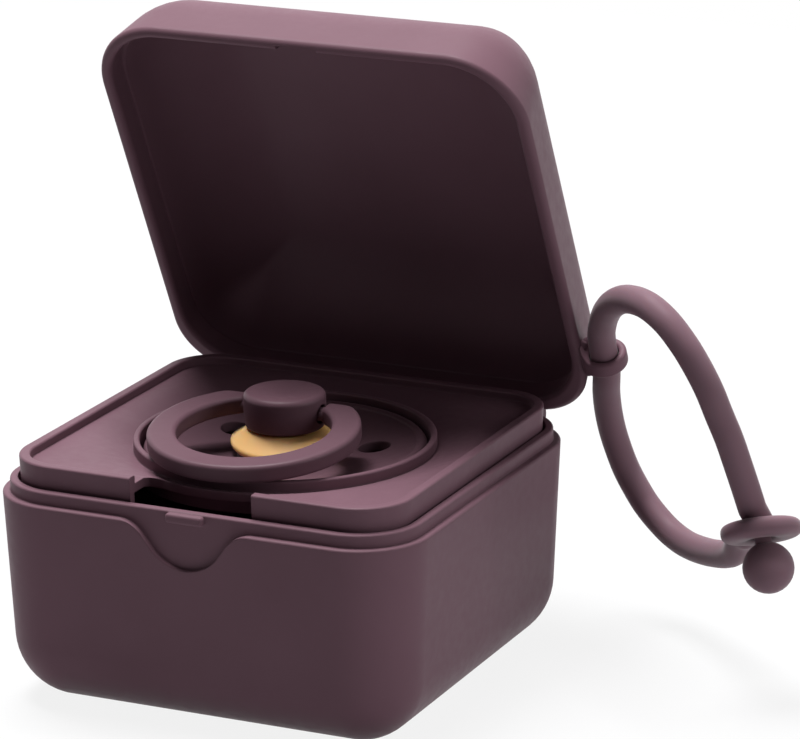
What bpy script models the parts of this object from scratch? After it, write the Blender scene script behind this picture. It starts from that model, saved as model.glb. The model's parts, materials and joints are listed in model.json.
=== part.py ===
"""Pacifier sterilizer case: a hinged box with a lift-out steam tray, one pacifier and a carry strap.

Metres, +Z up. The origin is the middle of the flat bottom, the front faces -Y and the lid's hinge is at the back.
The lid is shown part open. Every length below is a real size.
"""

import math

import bmesh
import bpy
from mathutils import Matrix, Vector

MM = 0.001

# Case outline at the ledge where lid and base meet
CASE_WIDTH = 70.0 * MM
CASE_DEPTH = 68.6 * MM
CORNER_RADIUS = 11.0 * MM
LEAST_CORNER_RADIUS = 0.8 * MM

# Base shell
LEDGE_HEIGHT = 33.1 * MM
BASE_DRAFT_SHARE = 0.049
BASE_EDGE_RADIUS = 10.0 * MM
BASE_FLOOR = 2.0 * MM
LEDGE_ROUNDING = 0.4 * MM
RIM_SETBACK = 1.15 * MM
RIM_THICKNESS = 1.2 * MM
RIM_HEIGHT = 2.0 * MM
RIM_ROUNDING = 0.35 * MM

# Thumb scoop and latch nub at the front of the base
SCOOP_WIDTH = 22.4 * MM
SCOOP_DEPTH = 6.9 * MM
SCOOP_BOTTOM_RADIUS = 6.9 * MM
SCOOP_SHOULDER_RADIUS = 5.2 * MM
NUB_WIDTH = 6.2 * MM
NUB_HEIGHT = 1.5 * MM
NUB_REACH = 0.95 * MM
NUB_BELOW_RIM = 0.2 * MM

# Ribs inside the base that carry the tray
RIB_THICKNESS = 1.4 * MM
RIB_REACH = 2.4 * MM
RIB_TOP_HEIGHT = 27.0 * MM
RIB_SPACING_X = 36.0 * MM
RIB_SPACING_Y = 34.0 * MM

# Running gap between pieces that meet
CLEARANCE = 0.3 * MM

# Steam tray
TRAY_STAND = 3.6 * MM
TRAY_WALL = 1.4 * MM
TRAY_BORDER_WIDTH = 1.7 * MM
TRAY_BORDER_HEIGHT = 1.3 * MM
TRAY_ROUNDING = 0.35 * MM
TRAY_PLATE = 1.4 * MM
DISH_RADIUS = 29.0 * MM
DISH_DEPTH = 1.6 * MM
COLLAR_RADIUS = 23.35 * MM
COLLAR_WALL = 1.0 * MM
COLLAR_STAND = 0.2 * MM
SHELF_DEPTH = 3.65 * MM
SHELF_WIDTH = 3.85 * MM
NOTCH_WIDTH = 20.2 * MM
NOTCH_MARGIN = 2.35 * MM
NOTCH_FILLET = 1.5 * MM
NOTCH_DEPTH = 6.6 * MM

# Lid shell, measured with the lid closed
LID_OVERHANG = 1.2 * MM
LID_FRONT_OVERHANG = 0.85 * MM
LID_BACK_OVERHANG = 1.55 * MM
LID_FRONT_CORNER_RADIUS = 12.2 * MM
LID_BACK_CORNER_RADIUS = 10.2 * MM
LID_HEIGHT = 20.0 * MM
LID_WALL = 1.8 * MM
LID_DRAFT_SHARE = 0.18
LID_EDGE_RADIUS = 13.5 * MM
LID_RIM_ROUNDING = 0.8 * MM
LID_LIP_ROUNDING = 0.4 * MM
REBATE_DEPTH = 4.0 * MM
LID_OPEN_ANGLE = math.radians(64.0)

# Hinge at the back
HINGE_BEHIND_WALL = 2.2 * MM
HINGE_ABOVE_LEDGE = 0.05 * MM
KNUCKLE_RADIUS = 1.9 * MM
PIN_RADIUS = 0.8 * MM
HINGE_LENGTH = 54.0 * MM
BASE_KNUCKLE_LENGTH = 7.0 * MM
PIN_END_COVER = 1.0 * MM
PIN_CLEARANCE = 0.3 * MM
HINGE_WEB_DEPTH = 3.4 * MM

# Strap eyelet on the right side of the lid
EYELET_BORE_RADIUS = 2.5 * MM
EYELET_WALL = 1.1 * MM
EYELET_THICKNESS = 2.5 * MM
EYELET_ROUNDING = 0.5 * MM
EYELET_FROM_HINGE = 12.7 * MM
EYELET_ABOVE_HINGE = 1.9 * MM
EYELET_OUT = 3.2 * MM
EYELET_WEB_LENGTH = 7.6 * MM
EYELET_WEB_HEIGHT = 2.6 * MM

# Pacifier
SHIELD_RADIUS = 21.8 * MM
SHIELD_THICKNESS = 1.6 * MM
SHIELD_BAND_WIDTH = 1.8 * MM
SHIELD_BAND_HEIGHT = 2.4 * MM
SHIELD_BOWL_DEPTH = 2.2 * MM
SHIELD_BOSS_RADIUS = 6.6 * MM
SHIELD_BOSS_RISE = 0.3 * MM
SHIELD_BORE_RADIUS = 5.8 * MM
VENT_RADIUS = 2.55 * MM
VENT_CIRCLE_RADIUS = 13.7 * MM
VENT_COUNT = 3
FLANGE_RADIUS = 8.4 * MM
FLANGE_THICKNESS = 0.9 * MM
FLANGE_DROOP = 1.0 * MM
TEAT_WALL = 1.4 * MM
TEAT_NECK_RADIUS = 5.5 * MM
TEAT_BULB_RADIUS = 7.6 * MM
TEAT_LENGTH = 30.0 * MM
TEAT_WAIST_RADIUS = 4.6 * MM
TEAT_WAIST_SHARE = 0.45
KNOB_TOP_RADIUS = 6.35 * MM
KNOB_FOOT_RADIUS = 6.1 * MM
KNOB_HEIGHT = 6.1 * MM
KNOB_ROUNDING = 0.8 * MM
KNOB_DISH = 0.5 * MM
STEM_LENGTH = 6.0 * MM
PIVOT_BELOW_TOP = 3.0 * MM
SOCKET_RADIUS = 1.5 * MM
SOCKET_DEPTH = 1.7 * MM
HANDLE_OUTER_RADIUS = 17.0 * MM
HANDLE_INNER_RADIUS = 11.2 * MM
HANDLE_THICKNESS = 2.8 * MM
HANDLE_ROUNDING = 0.7 * MM
HANDLE_OFFSET = 10.1 * MM
HANDLE_TILT = math.radians(5.0)
STUB_RADIUS = 1.1 * MM

# Silicone carry strap
STRAP_RADIUS = 2.2 * MM
STRAP_NECK_RADIUS = 1.3 * MM
STRAP_REACH = 40.0 * MM
STRAP_SPAN = 48.0 * MM
STRAP_HANG_ANGLE = math.radians(34.5)
STRAP_RING_RADIUS = 6.2 * MM
STRAP_RING_HOLE_RADIUS = 1.8 * MM
STRAP_RING_HEIGHT = 3.0 * MM
STRAP_RING_LEAN = math.radians(17.0)
STRAP_RING_TWIST = math.radians(18.0)
STRAP_NECK_LEAN = math.radians(20.0)
STRAP_NECK_TWIST = math.radians(12.0)
STRAP_BALL_RADIUS = 3.95 * MM

# How finely round shapes are divided
CORNER_STEPS = 9
ARC_STEPS = 6
SMALL_ARC_STEPS = 2
TURN_STEPS = 40
SMALL_TURN_STEPS = 20
STRAP_SIDE_STEPS = 3
STRAP_ROUTE_STEPS = 64
CUT_OVERRUN = 2.0 * MM
JOIN_OVERLAP = 0.5 * MM
MERGE_DISTANCE = 0.002 * MM

# Sizes that follow from the ones above
HALF_WIDTH = CASE_WIDTH / 2
HALF_DEPTH = CASE_DEPTH / 2
RIM_TOP = LEDGE_HEIGHT + RIM_HEIGHT
WALL_INSET = RIM_SETBACK + RIM_THICKNESS
TRAY_INSET = WALL_INSET + CLEARANCE
TRAY_TOP = RIM_TOP + TRAY_STAND
PLATE_TOP = TRAY_TOP - TRAY_BORDER_HEIGHT
COLLAR_TOP = PLATE_TOP + COLLAR_STAND
SHELF_TOP = COLLAR_TOP - SHELF_DEPTH
COLLAR_BORE = COLLAR_RADIUS - COLLAR_WALL
TRAY_FOOT = RIB_TOP_HEIGHT + CLEARANCE
LID_RIM_HEIGHT = LEDGE_HEIGHT + CLEARANCE
HINGE_Y = HALF_DEPTH + HINGE_BEHIND_WALL
HINGE_Z = LEDGE_HEIGHT + HINGE_ABOVE_LEDGE
LID_HALF_WIDTH = HALF_WIDTH + LID_OVERHANG
LID_BORE_INSET = RIM_SETBACK - CLEARANCE
BAND_TOP = SHELF_TOP + CLEARANCE + SHIELD_BAND_HEIGHT
BOSS_TOP = BAND_TOP + SHIELD_BOSS_RISE
FLANGE_BOTTOM = BOSS_TOP + CLEARANCE
KNOB_BOTTOM = FLANGE_BOTTOM + FLANGE_THICKNESS + CLEARANCE
KNOB_TOP = KNOB_BOTTOM + KNOB_HEIGHT
PIVOT_Z = KNOB_TOP - PIVOT_BELOW_TOP

PLUM = (0.105, 0.052, 0.068, 1.0)
SILICONE_PLUM = (0.150, 0.085, 0.108, 1.0)
AMBER = (0.560, 0.300, 0.080, 1.0)
STEEL = (0.560, 0.560, 0.580, 1.0)


def clear_scene():
    for old in list(bpy.data.objects):
        bpy.data.objects.remove(old, do_unlink=True)


def new_collection(name):
    made = bpy.data.collections.new(name)
    bpy.context.scene.collection.children.link(made)
    return made


def principled(name, colour, roughness, metallic=0.0):
    material = bpy.data.materials.new(name)
    material.use_nodes = True
    shader = material.node_tree.nodes["Principled BSDF"]
    shader.inputs["Base Color"].default_value = colour
    shader.inputs["Roughness"].default_value = roughness
    shader.inputs["Metallic"].default_value = metallic
    return material


def object_from_bmesh(name, mesh_data, collection):
    """A new object from a bmesh, with its faces pointing out."""
    bmesh.ops.recalc_face_normals(mesh_data, faces=mesh_data.faces)
    mesh = bpy.data.meshes.new(name)
    mesh_data.to_mesh(mesh)
    mesh_data.free()
    made = bpy.data.objects.new(name, mesh)
    collection.objects.link(made)
    return made


def square_ring(inset, z, side=HALF_WIDTH, front=HALF_DEPTH, back=HALF_DEPTH, front_radius=None, back_radius=None):
    """Points round a rounded rectangle, drawn in by inset, at one height. It is the case's outline unless told otherwise."""
    points = []
    for quarter, (side_x, side_y) in enumerate(((1, 1), (-1, 1), (-1, -1), (1, -1))):
        radius, reach = (back_radius, back) if side_y > 0 else (front_radius, front)
        corner = max((radius or CORNER_RADIUS) - inset, LEAST_CORNER_RADIUS)
        centre_x = side - inset - corner
        centre_y = reach - inset - corner
        for step in range(CORNER_STEPS + 1):
            angle = math.radians(90 * (quarter + step / CORNER_STEPS))
            x = side_x * centre_x + corner * math.cos(angle)
            y = side_y * centre_y + corner * math.sin(angle)
            points.append(Vector((x, y, z)))
    return points


def circle_ring(radius, z):
    """As many points as a square_ring, evenly round a circle."""
    count = 4 * (CORNER_STEPS + 1)
    points = []
    for index in range(count):
        angle = 2 * math.pi * (index + 0.5) / count
        points.append(Vector((radius * math.cos(angle), radius * math.sin(angle), z)))
    return points


def ring_solid(name, rings, collection, closed=False):
    """A body through a series of rings: joined end to end, or else capped at both ends."""
    body = bmesh.new()
    rows = [[body.verts.new(point) for point in ring] for ring in rings]
    pairs = list(zip(rows, rows[1:]))
    if closed:
        pairs.append((rows[-1], rows[0]))
    for lower, upper in pairs:
        for index in range(len(lower)):
            after = (index + 1) % len(lower)
            body.faces.new((lower[index], lower[after], upper[after], upper[index]))
    if not closed:
        body.faces.new(rows[0])
        body.faces.new(rows[-1])
    return object_from_bmesh(name, body, collection)


def arc(centre, radius, start, end, steps):
    """Points (across, up) along an arc, with its angles in degrees."""
    points = []
    for step in range(steps + 1):
        angle = math.radians(start + (end - start) * step / steps)
        points.append((centre[0] + radius * math.cos(angle), centre[1] + radius * math.sin(angle)))
    return points


def turned(name, profile, collection, steps=TURN_STEPS, closed=True):
    """A profile of (radius, height) points, turned round Z by a Screw modifier."""
    mesh = bpy.data.meshes.new(name)
    points = [(radius, 0.0, height) for radius, height in profile]
    edges = [(index, index + 1) for index in range(len(points) - 1)]
    if closed:
        edges.append((len(points) - 1, 0))
    mesh.from_pydata(points, edges, [])
    made = bpy.data.objects.new(name, mesh)
    collection.objects.link(made)
    screw = made.modifiers.new("turn", "SCREW")
    screw.steps = steps
    screw.render_steps = steps
    screw.use_merge_vertices = True
    screw.merge_threshold = MERGE_DISTANCE
    screw.use_normal_calculate = True
    return made


def box(name, low, high, collection):
    """A box between two corners."""
    low = Vector(low)
    high = Vector(high)
    body = bmesh.new()
    bmesh.ops.create_cube(body, size=1.0)
    size = high - low
    bmesh.ops.scale(body, vec=size, verts=body.verts)
    bmesh.ops.translate(body, vec=(low + high) / 2, verts=body.verts)
    return object_from_bmesh(name, body, collection)


def rod(name, start, end, radius, collection, steps=SMALL_TURN_STEPS, end_radius=None):
    """A cylinder or cone frustum between two points."""
    start = Vector(start)
    end = Vector(end)
    body = bmesh.new()
    bmesh.ops.create_cone(
        body,
        cap_ends=True,
        segments=steps,
        radius1=radius,
        radius2=radius if end_radius is None else end_radius,
        depth=(end - start).length,
    )
    turn = (end - start).to_track_quat("Z", "Y").to_matrix().to_4x4()
    bmesh.ops.transform(body, matrix=Matrix.Translation((start + end) / 2) @ turn, verts=body.verts)
    return object_from_bmesh(name, body, collection)


def extruded(name, outline, low, high, collection):
    """A flat outline of (x, y) points between two heights."""
    body = bmesh.new()
    lower = [body.verts.new((x, y, low)) for x, y in outline]
    upper = [body.verts.new((x, y, high)) for x, y in outline]
    body.faces.new(lower)
    body.faces.new(upper)
    for index in range(len(outline)):
        after = (index + 1) % len(outline)
        body.faces.new((lower[index], lower[after], upper[after], upper[index]))
    return object_from_bmesh(name, body, collection)


def apply_modifiers(target):
    """Fixes a helper's modifiers into its mesh."""
    bpy.context.view_layer.update()
    evaluated = target.evaluated_get(bpy.context.evaluated_depsgraph_get())
    mesh = bpy.data.meshes.new_from_object(evaluated)
    body = bmesh.new()
    body.from_mesh(mesh)
    bmesh.ops.recalc_face_normals(body, faces=body.faces)
    body.to_mesh(mesh)
    body.free()
    target.modifiers.clear()
    target.data = mesh
    return target


def boolean(target, tool, operation):
    """Joins, cuts or keeps the common part with another body, which stays hidden as a guide."""
    tool.hide_render = True
    tool.display_type = "WIRE"
    modifier = target.modifiers.new(tool.name, "BOOLEAN")
    modifier.operation = operation
    modifier.object = tool
    return modifier


def smooth(target, angle=math.radians(35)):
    target.data.shade_smooth()
    target.data.set_sharp_from_angle(angle=angle)


def finish(target, material, parent=None, place=None):
    """Fixes a piece's cuts into it, gives it its material and hangs it on its joint's empty."""
    apply_modifiers(target)
    target.data.materials.clear()
    target.data.materials.append(material)
    if place is not None:
        target.data.transform(place)
    if parent is not None:
        target.parent = parent


def base_inset(z):
    """How far the base's outer wall has drawn in at a height."""
    return BASE_DRAFT_SHARE * (LEDGE_HEIGHT - z)


def base_blank(guides, parts):
    """The base's outside, solid, with the set-back rim on top."""
    rings = [square_ring(base_inset(0.0) + BASE_EDGE_RADIUS, 0.0)]
    for inset, z in arc((BASE_EDGE_RADIUS, BASE_EDGE_RADIUS), BASE_EDGE_RADIUS, 270, 180, ARC_STEPS)[1:]:
        rings.append(square_ring(base_inset(z) + inset, z))
    for inset, z in arc((LEDGE_ROUNDING, LEDGE_HEIGHT - LEDGE_ROUNDING), LEDGE_ROUNDING, 180, 90, SMALL_ARC_STEPS):
        rings.append(square_ring(inset, z))
    rings.append(square_ring(RIM_SETBACK, LEDGE_HEIGHT))
    edge = RIM_SETBACK + RIM_ROUNDING
    for inset, z in arc((edge, RIM_TOP - RIM_ROUNDING), RIM_ROUNDING, 180, 90, SMALL_ARC_STEPS):
        rings.append(square_ring(inset, z))
    rings.append(square_ring(WALL_INSET, RIM_TOP))
    return ring_solid("base_shell", rings, parts)


def base_cavity(guides):
    """The hollow of the base, less the ribs that carry the tray."""
    inner_radius = BASE_EDGE_RADIUS - BASE_FLOOR
    rings = []
    for inset, z in arc((inner_radius, BASE_FLOOR + inner_radius), inner_radius, 270, 180, ARC_STEPS):
        rings.append(square_ring(WALL_INSET + base_inset(z) + inset, z))
    rings.append(square_ring(WALL_INSET, LEDGE_HEIGHT))
    rings.append(square_ring(WALL_INSET, RIM_TOP + CUT_OVERRUN))
    cavity = ring_solid("base_cavity", rings, guides)
    inner_x = HALF_WIDTH - WALL_INSET - base_inset(RIB_TOP_HEIGHT)
    inner_y = HALF_DEPTH - WALL_INSET - base_inset(RIB_TOP_HEIGHT)
    half_rib = RIB_THICKNESS / 2
    low_z = BASE_FLOOR - JOIN_OVERLAP
    for side in (-1, 1):
        for end in (-1, 1):
            y = end * RIB_SPACING_Y / 2
            near_x = side * (inner_x - RIB_REACH)
            far_x = side * (HALF_WIDTH + CUT_OVERRUN)
            rib = box(
                f"rib_x_{side}_{end}",
                (min(near_x, far_x), y - half_rib, low_z),
                (max(near_x, far_x), y + half_rib, RIB_TOP_HEIGHT),
                guides,
            )
            boolean(cavity, rib, "DIFFERENCE")
            x = end * RIB_SPACING_X / 2
            near_y = side * (inner_y - RIB_REACH)
            far_y = side * (HALF_DEPTH + CUT_OVERRUN)
            rib = box(
                f"rib_y_{side}_{end}",
                (x - half_rib, min(near_y, far_y), low_z),
                (x + half_rib, max(near_y, far_y), RIB_TOP_HEIGHT),
                guides,
            )
            boolean(cavity, rib, "DIFFERENCE")
    return apply_modifiers(cavity)


def scoop_outline():
    """The thumb scoop seen from the front, as (x, z): shoulders, sloping sides and a round bottom."""
    half = SCOOP_WIDTH / 2
    bottom_z = LEDGE_HEIGHT - SCOOP_DEPTH + SCOOP_BOTTOM_RADIUS
    shoulder_z = LEDGE_HEIGHT - SCOOP_SHOULDER_RADIUS
    across = half
    drop = bottom_z - shoulder_z
    reach = math.hypot(across, drop)
    lean = math.asin((SCOOP_BOTTOM_RADIUS + SCOOP_SHOULDER_RADIUS) / reach)
    turn = math.degrees(lean + math.atan2(-drop, across))
    right = arc((half, shoulder_z), SCOOP_SHOULDER_RADIUS, 90, 90 + turn, ARC_STEPS)
    bottom = arc((0.0, bottom_z), SCOOP_BOTTOM_RADIUS, turn - 90, -90, ARC_STEPS)
    side = right + bottom
    mirrored = [(-x, z) for x, z in reversed(side[:-1])]
    top = LEDGE_HEIGHT + RIM_HEIGHT / 2
    return [(half, top)] + side + mirrored + [(-half, top)]


def base_scoop(guides):
    """What the thumb scoop takes off the front wall, back to the rim's face."""
    face = -(HALF_DEPTH - RIM_SETBACK)
    cutter = extruded("scoop", scoop_outline(), -HALF_DEPTH - CUT_OVERRUN, face, guides)
    upright = Matrix(((1, 0, 0, 0), (0, 0, 1, 0), (0, 1, 0, 0), (0, 0, 0, 1)))
    cutter.data.transform(upright)
    cutter.data.flip_normals()
    return cutter


def make_base(parts, guides, material):
    base = base_blank(guides, parts)
    boolean(base, base_cavity(guides), "DIFFERENCE")
    boolean(base, base_scoop(guides), "DIFFERENCE")
    face = -(HALF_DEPTH - RIM_SETBACK)
    nub_top = RIM_TOP - NUB_BELOW_RIM
    nub = box(
        "nub",
        (-NUB_WIDTH / 2, face - NUB_REACH, nub_top - NUB_HEIGHT),
        (NUB_WIDTH / 2, face + RIM_THICKNESS / 2, nub_top),
        guides,
    )
    round_edges(nub, NUB_HEIGHT / 4)
    boolean(base, nub, "UNION")
    for side in (-1, 1):
        near = side * (HINGE_LENGTH / 2 - BASE_KNUCKLE_LENGTH)
        far = side * HINGE_LENGTH / 2
        boolean(base, base_knuckle(min(near, far), max(near, far), guides), "UNION")
        inner = side * (HINGE_LENGTH / 2 - BASE_KNUCKLE_LENGTH - CUT_OVERRUN)
        closed_end = side * (HINGE_LENGTH / 2 - PIN_END_COVER)
        bore = rod(
            f"pin_bore_{side}",
            (inner, HINGE_Y, HINGE_Z),
            (closed_end, HINGE_Y, HINGE_Z),
            PIN_RADIUS + PIN_CLEARANCE,
            guides,
        )
        boolean(base, bore, "DIFFERENCE")
    finish(base, material)
    return base


def round_edges(target, width):
    """Rounds every edge of a helper."""
    bevel = target.modifiers.new("round", "BEVEL")
    bevel.width = width
    bevel.segments = SMALL_ARC_STEPS
    bevel.limit_method = "ANGLE"
    return apply_modifiers(target)


def base_knuckle(low_x, high_x, guides):
    """A hinge barrel of the base and the bracket that carries it on the back wall."""
    barrel = rod(f"knuckle_{low_x > 0}", (low_x, HINGE_Y, HINGE_Z), (high_x, HINGE_Y, HINGE_Z), KNUCKLE_RADIUS, guides)
    slope = [
        (HALF_DEPTH - WALL_INSET + JOIN_OVERLAP, HINGE_Z - HINGE_WEB_DEPTH - KNUCKLE_RADIUS),
        (HINGE_Y, HINGE_Z - KNUCKLE_RADIUS),
        (HINGE_Y, HINGE_Z - HINGE_ABOVE_LEDGE - LEDGE_ROUNDING),
        (HALF_DEPTH - WALL_INSET + JOIN_OVERLAP, HINGE_Z - HINGE_ABOVE_LEDGE - LEDGE_ROUNDING),
    ]
    web = extruded(f"bracket_{low_x > 0}", slope, low_x, high_x, guides)
    sideways = Matrix(((0, 0, 1, 0), (1, 0, 0, 0), (0, 1, 0, 0), (0, 0, 0, 1)))
    web.data.transform(sideways)
    boolean(barrel, web, "UNION")
    return apply_modifiers(barrel)


def make_tray(parts, guides, material):
    """The lift-out tray: skirt, raised border, shallow dish, collar and the shelf that holds the pacifier."""

    def square(inset, z):
        return square_ring(TRAY_INSET + inset, z)

    def drawn(z):
        return BASE_DRAFT_SHARE * (TRAY_TOP - z)

    edge = TRAY_ROUNDING
    rings = [square(drawn(TRAY_FOOT), TRAY_FOOT)]
    rings += [square(x, z) for x, z in arc((edge, TRAY_TOP - edge), edge, 180, 90, SMALL_ARC_STEPS)]
    inner = TRAY_BORDER_WIDTH - edge
    rings += [square(x, z) for x, z in arc((inner, TRAY_TOP - edge), edge, 90, 0, SMALL_ARC_STEPS)]
    rings.append(square(TRAY_BORDER_WIDTH, PLATE_TOP))
    rings.append(circle_ring(DISH_RADIUS, PLATE_TOP))
    dish_z = PLATE_TOP - DISH_DEPTH
    rings.append(circle_ring(COLLAR_RADIUS, dish_z))
    edge = COLLAR_WALL / 3
    outer = COLLAR_RADIUS - edge
    rings += [circle_ring(r, z) for r, z in arc((outer, COLLAR_TOP - edge), edge, 0, 90, SMALL_ARC_STEPS)]
    outer = COLLAR_BORE + edge
    rings += [circle_ring(r, z) for r, z in arc((outer, COLLAR_TOP - edge), edge, 90, 180, SMALL_ARC_STEPS)]
    rings.append(circle_ring(COLLAR_BORE, SHELF_TOP))
    rings.append(circle_ring(COLLAR_BORE - SHELF_WIDTH, SHELF_TOP))
    rings.append(circle_ring(COLLAR_BORE - SHELF_WIDTH, SHELF_TOP - TRAY_PLATE))
    under = COLLAR_BORE + TRAY_WALL
    rings.append(circle_ring(under, SHELF_TOP - TRAY_PLATE))
    rings.append(circle_ring(under, dish_z - TRAY_PLATE))
    rings.append(circle_ring(DISH_RADIUS, PLATE_TOP - TRAY_PLATE))
    rings.append(square(TRAY_WALL + drawn(PLATE_TOP), PLATE_TOP - TRAY_PLATE))
    rings.append(square(TRAY_WALL + drawn(TRAY_FOOT), TRAY_FOOT))
    tray = ring_solid("steam_tray", rings, parts, closed=True)
    boolean(tray, tray_notch(guides), "DIFFERENCE")
    finish(tray, material)
    return tray


def tray_notch(guides):
    """The finger notch through the tray's front, with a back edge that follows the collar."""
    half = NOTCH_WIDTH / 2
    radius = COLLAR_RADIUS + NOTCH_MARGIN
    fillet = NOTCH_FILLET
    fillet_x = half - fillet
    fillet_y = -math.sqrt((radius + fillet) ** 2 - fillet_x**2)
    touch = math.degrees(math.atan2(fillet_y, fillet_x))
    corner = arc((fillet_x, fillet_y), fillet, 0, 180 + touch, SMALL_ARC_STEPS + 1)
    back = arc((0.0, 0.0), radius, touch, -90, ARC_STEPS)[1:]
    side = corner + back
    mirrored = [(-x, y) for x, y in reversed(side[:-1])]
    front = -HALF_DEPTH - CUT_OVERRUN
    outline = [(half, front)] + side + mirrored + [(-half, front)]
    return extruded("finger_notch", outline, TRAY_TOP - NOTCH_DEPTH, TRAY_TOP + CUT_OVERRUN, guides)


def lid_ring(inset, rise):
    """The lid's outline at a height above its rim, with the lid closed."""
    return square_ring(
        inset,
        LID_RIM_HEIGHT + rise,
        HALF_WIDTH + LID_OVERHANG,
        HALF_DEPTH + LID_FRONT_OVERHANG,
        HALF_DEPTH + LID_BACK_OVERHANG,
        LID_FRONT_CORNER_RADIUS,
        LID_BACK_CORNER_RADIUS,
    )


def lid_blank(parts):
    edge = LID_RIM_ROUNDING
    rings = [lid_ring(x, z) for x, z in arc((edge, edge), edge, 270, 180, SMALL_ARC_STEPS + 1)]
    for inset, rise in arc((LID_EDGE_RADIUS, LID_HEIGHT - LID_EDGE_RADIUS), LID_EDGE_RADIUS, 180, 90, ARC_STEPS):
        rings.append(lid_ring(LID_DRAFT_SHARE * rise + inset, rise))
    return ring_solid("lid_shell", rings, parts)


def lid_cavity(guides):
    """The hollow of the lid, wider near the rim where it goes over the base's rim."""
    lip = LID_LIP_ROUNDING
    rings = [square_ring(LID_BORE_INSET - lip, LID_RIM_HEIGHT - CUT_OVERRUN)]
    rings.append(square_ring(LID_BORE_INSET - lip, LID_RIM_HEIGHT))
    rings.append(square_ring(LID_BORE_INSET, LID_RIM_HEIGHT + lip))
    rings.append(square_ring(LID_BORE_INSET, LID_RIM_HEIGHT + REBATE_DEPTH))
    radius = LID_EDGE_RADIUS - LID_WALL
    ceiling = LID_HEIGHT - LID_WALL
    rings.append(lid_ring(LID_DRAFT_SHARE * REBATE_DEPTH + LID_WALL, REBATE_DEPTH))
    for inset, rise in arc((radius, ceiling - radius), radius, 180, 90, ARC_STEPS):
        rings.append(lid_ring(LID_DRAFT_SHARE * rise + LID_WALL + inset, rise))
    return ring_solid("lid_cavity", rings, guides)


def eyelet_centre():
    """The middle of the strap's eyelet, with the lid closed."""
    x = LID_HALF_WIDTH + EYELET_OUT
    return Vector((x, HINGE_Y - EYELET_FROM_HINGE, HINGE_Z + EYELET_ABOVE_HINGE))


def make_eyelet(guides):
    """A rounded ring on a flared web, its hole running from hinge to front."""
    outer = EYELET_BORE_RADIUS + EYELET_WALL
    half = EYELET_THICKNESS / 2
    edge = EYELET_ROUNDING
    section = arc((outer - edge, half - edge), edge, 90, 0, SMALL_ARC_STEPS)
    section += arc((outer - edge, edge - half), edge, 0, -90, SMALL_ARC_STEPS)
    section += arc((EYELET_BORE_RADIUS + edge, edge - half), edge, -90, -180, SMALL_ARC_STEPS)
    section += arc((EYELET_BORE_RADIUS + edge, half - edge), edge, 180, 90, SMALL_ARC_STEPS)
    ring = turned("eyelet", section, guides, SMALL_TURN_STEPS)
    apply_modifiers(ring)
    centre = eyelet_centre()
    ring.data.transform(Matrix.Translation(centre) @ Matrix.Rotation(math.pi / 2, 4, "X"))
    wall_x = LID_HALF_WIDTH - LID_WALL / 2
    web = rod(
        "eyelet_web",
        (wall_x, 0.0, 0.0),
        (centre.x - EYELET_BORE_RADIUS - EYELET_ROUNDING / 2, 0.0, 0.0),
        EYELET_WEB_LENGTH / 2,
        guides,
        end_radius=EYELET_THICKNESS / 2,
    )
    stretch = Matrix.Diagonal((1.0, 1.0, EYELET_WEB_HEIGHT / EYELET_WEB_LENGTH, 1.0))
    web_z = max(centre.z, LID_RIM_HEIGHT + EYELET_WEB_HEIGHT / 2)
    web.data.transform(Matrix.Translation((0.0, centre.y, web_z)) @ stretch)
    boolean(ring, web, "UNION")
    return apply_modifiers(ring)


def make_lid(parts, guides, material, hinge):
    lid = lid_blank(parts)
    boolean(lid, lid_cavity(guides), "DIFFERENCE")
    boolean(lid, make_eyelet(guides), "UNION")
    half = HINGE_LENGTH / 2 - BASE_KNUCKLE_LENGTH - CLEARANCE
    barrel = rod("lid_barrel", (-half, HINGE_Y, HINGE_Z), (half, HINGE_Y, HINGE_Z), KNUCKLE_RADIUS, guides)
    boolean(lid, barrel, "UNION")
    for side in (-1, 1):
        near = side * (HINGE_LENGTH / 2 - BASE_KNUCKLE_LENGTH - CLEARANCE)
        far = side * (HINGE_LENGTH / 2 + CLEARANCE)
        room = rod(
            f"knuckle_room_{side}",
            (near, HINGE_Y, HINGE_Z),
            (far, HINGE_Y, HINGE_Z),
            KNUCKLE_RADIUS + CLEARANCE,
            guides,
        )
        boolean(lid, room, "DIFFERENCE")
    reach = half + CUT_OVERRUN
    bore = rod("lid_pin_bore", (-reach, HINGE_Y, HINGE_Z), (reach, HINGE_Y, HINGE_Z), PIN_RADIUS + PIN_CLEARANCE, guides)
    boolean(lid, bore, "DIFFERENCE")
    groove_y = -(HALF_DEPTH - RIM_SETBACK + NUB_REACH + CLEARANCE)
    groove = box(
        "latch_groove",
        (-NUB_WIDTH / 2 - CLEARANCE, groove_y, LID_RIM_HEIGHT - CUT_OVERRUN),
        (NUB_WIDTH / 2 + CLEARANCE, -HALF_DEPTH + WALL_INSET + CUT_OVERRUN, RIM_TOP + CLEARANCE),
        guides,
    )
    boolean(lid, groove, "DIFFERENCE")
    finish(lid, material, hinge, to_hinge())
    return lid


def to_hinge():
    """Moves closed-lid coordinates to the hinge empty's own."""
    return Matrix.Translation((0.0, -HINGE_Y, -HINGE_Z))


def make_pin(parts, material, hinge):
    half = HINGE_LENGTH / 2 - PIN_END_COVER - CLEARANCE
    pin = rod("hinge_pin", (-half, 0.0, 0.0), (half, 0.0, 0.0), PIN_RADIUS, parts)
    finish(pin, material, hinge)
    return pin


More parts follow.
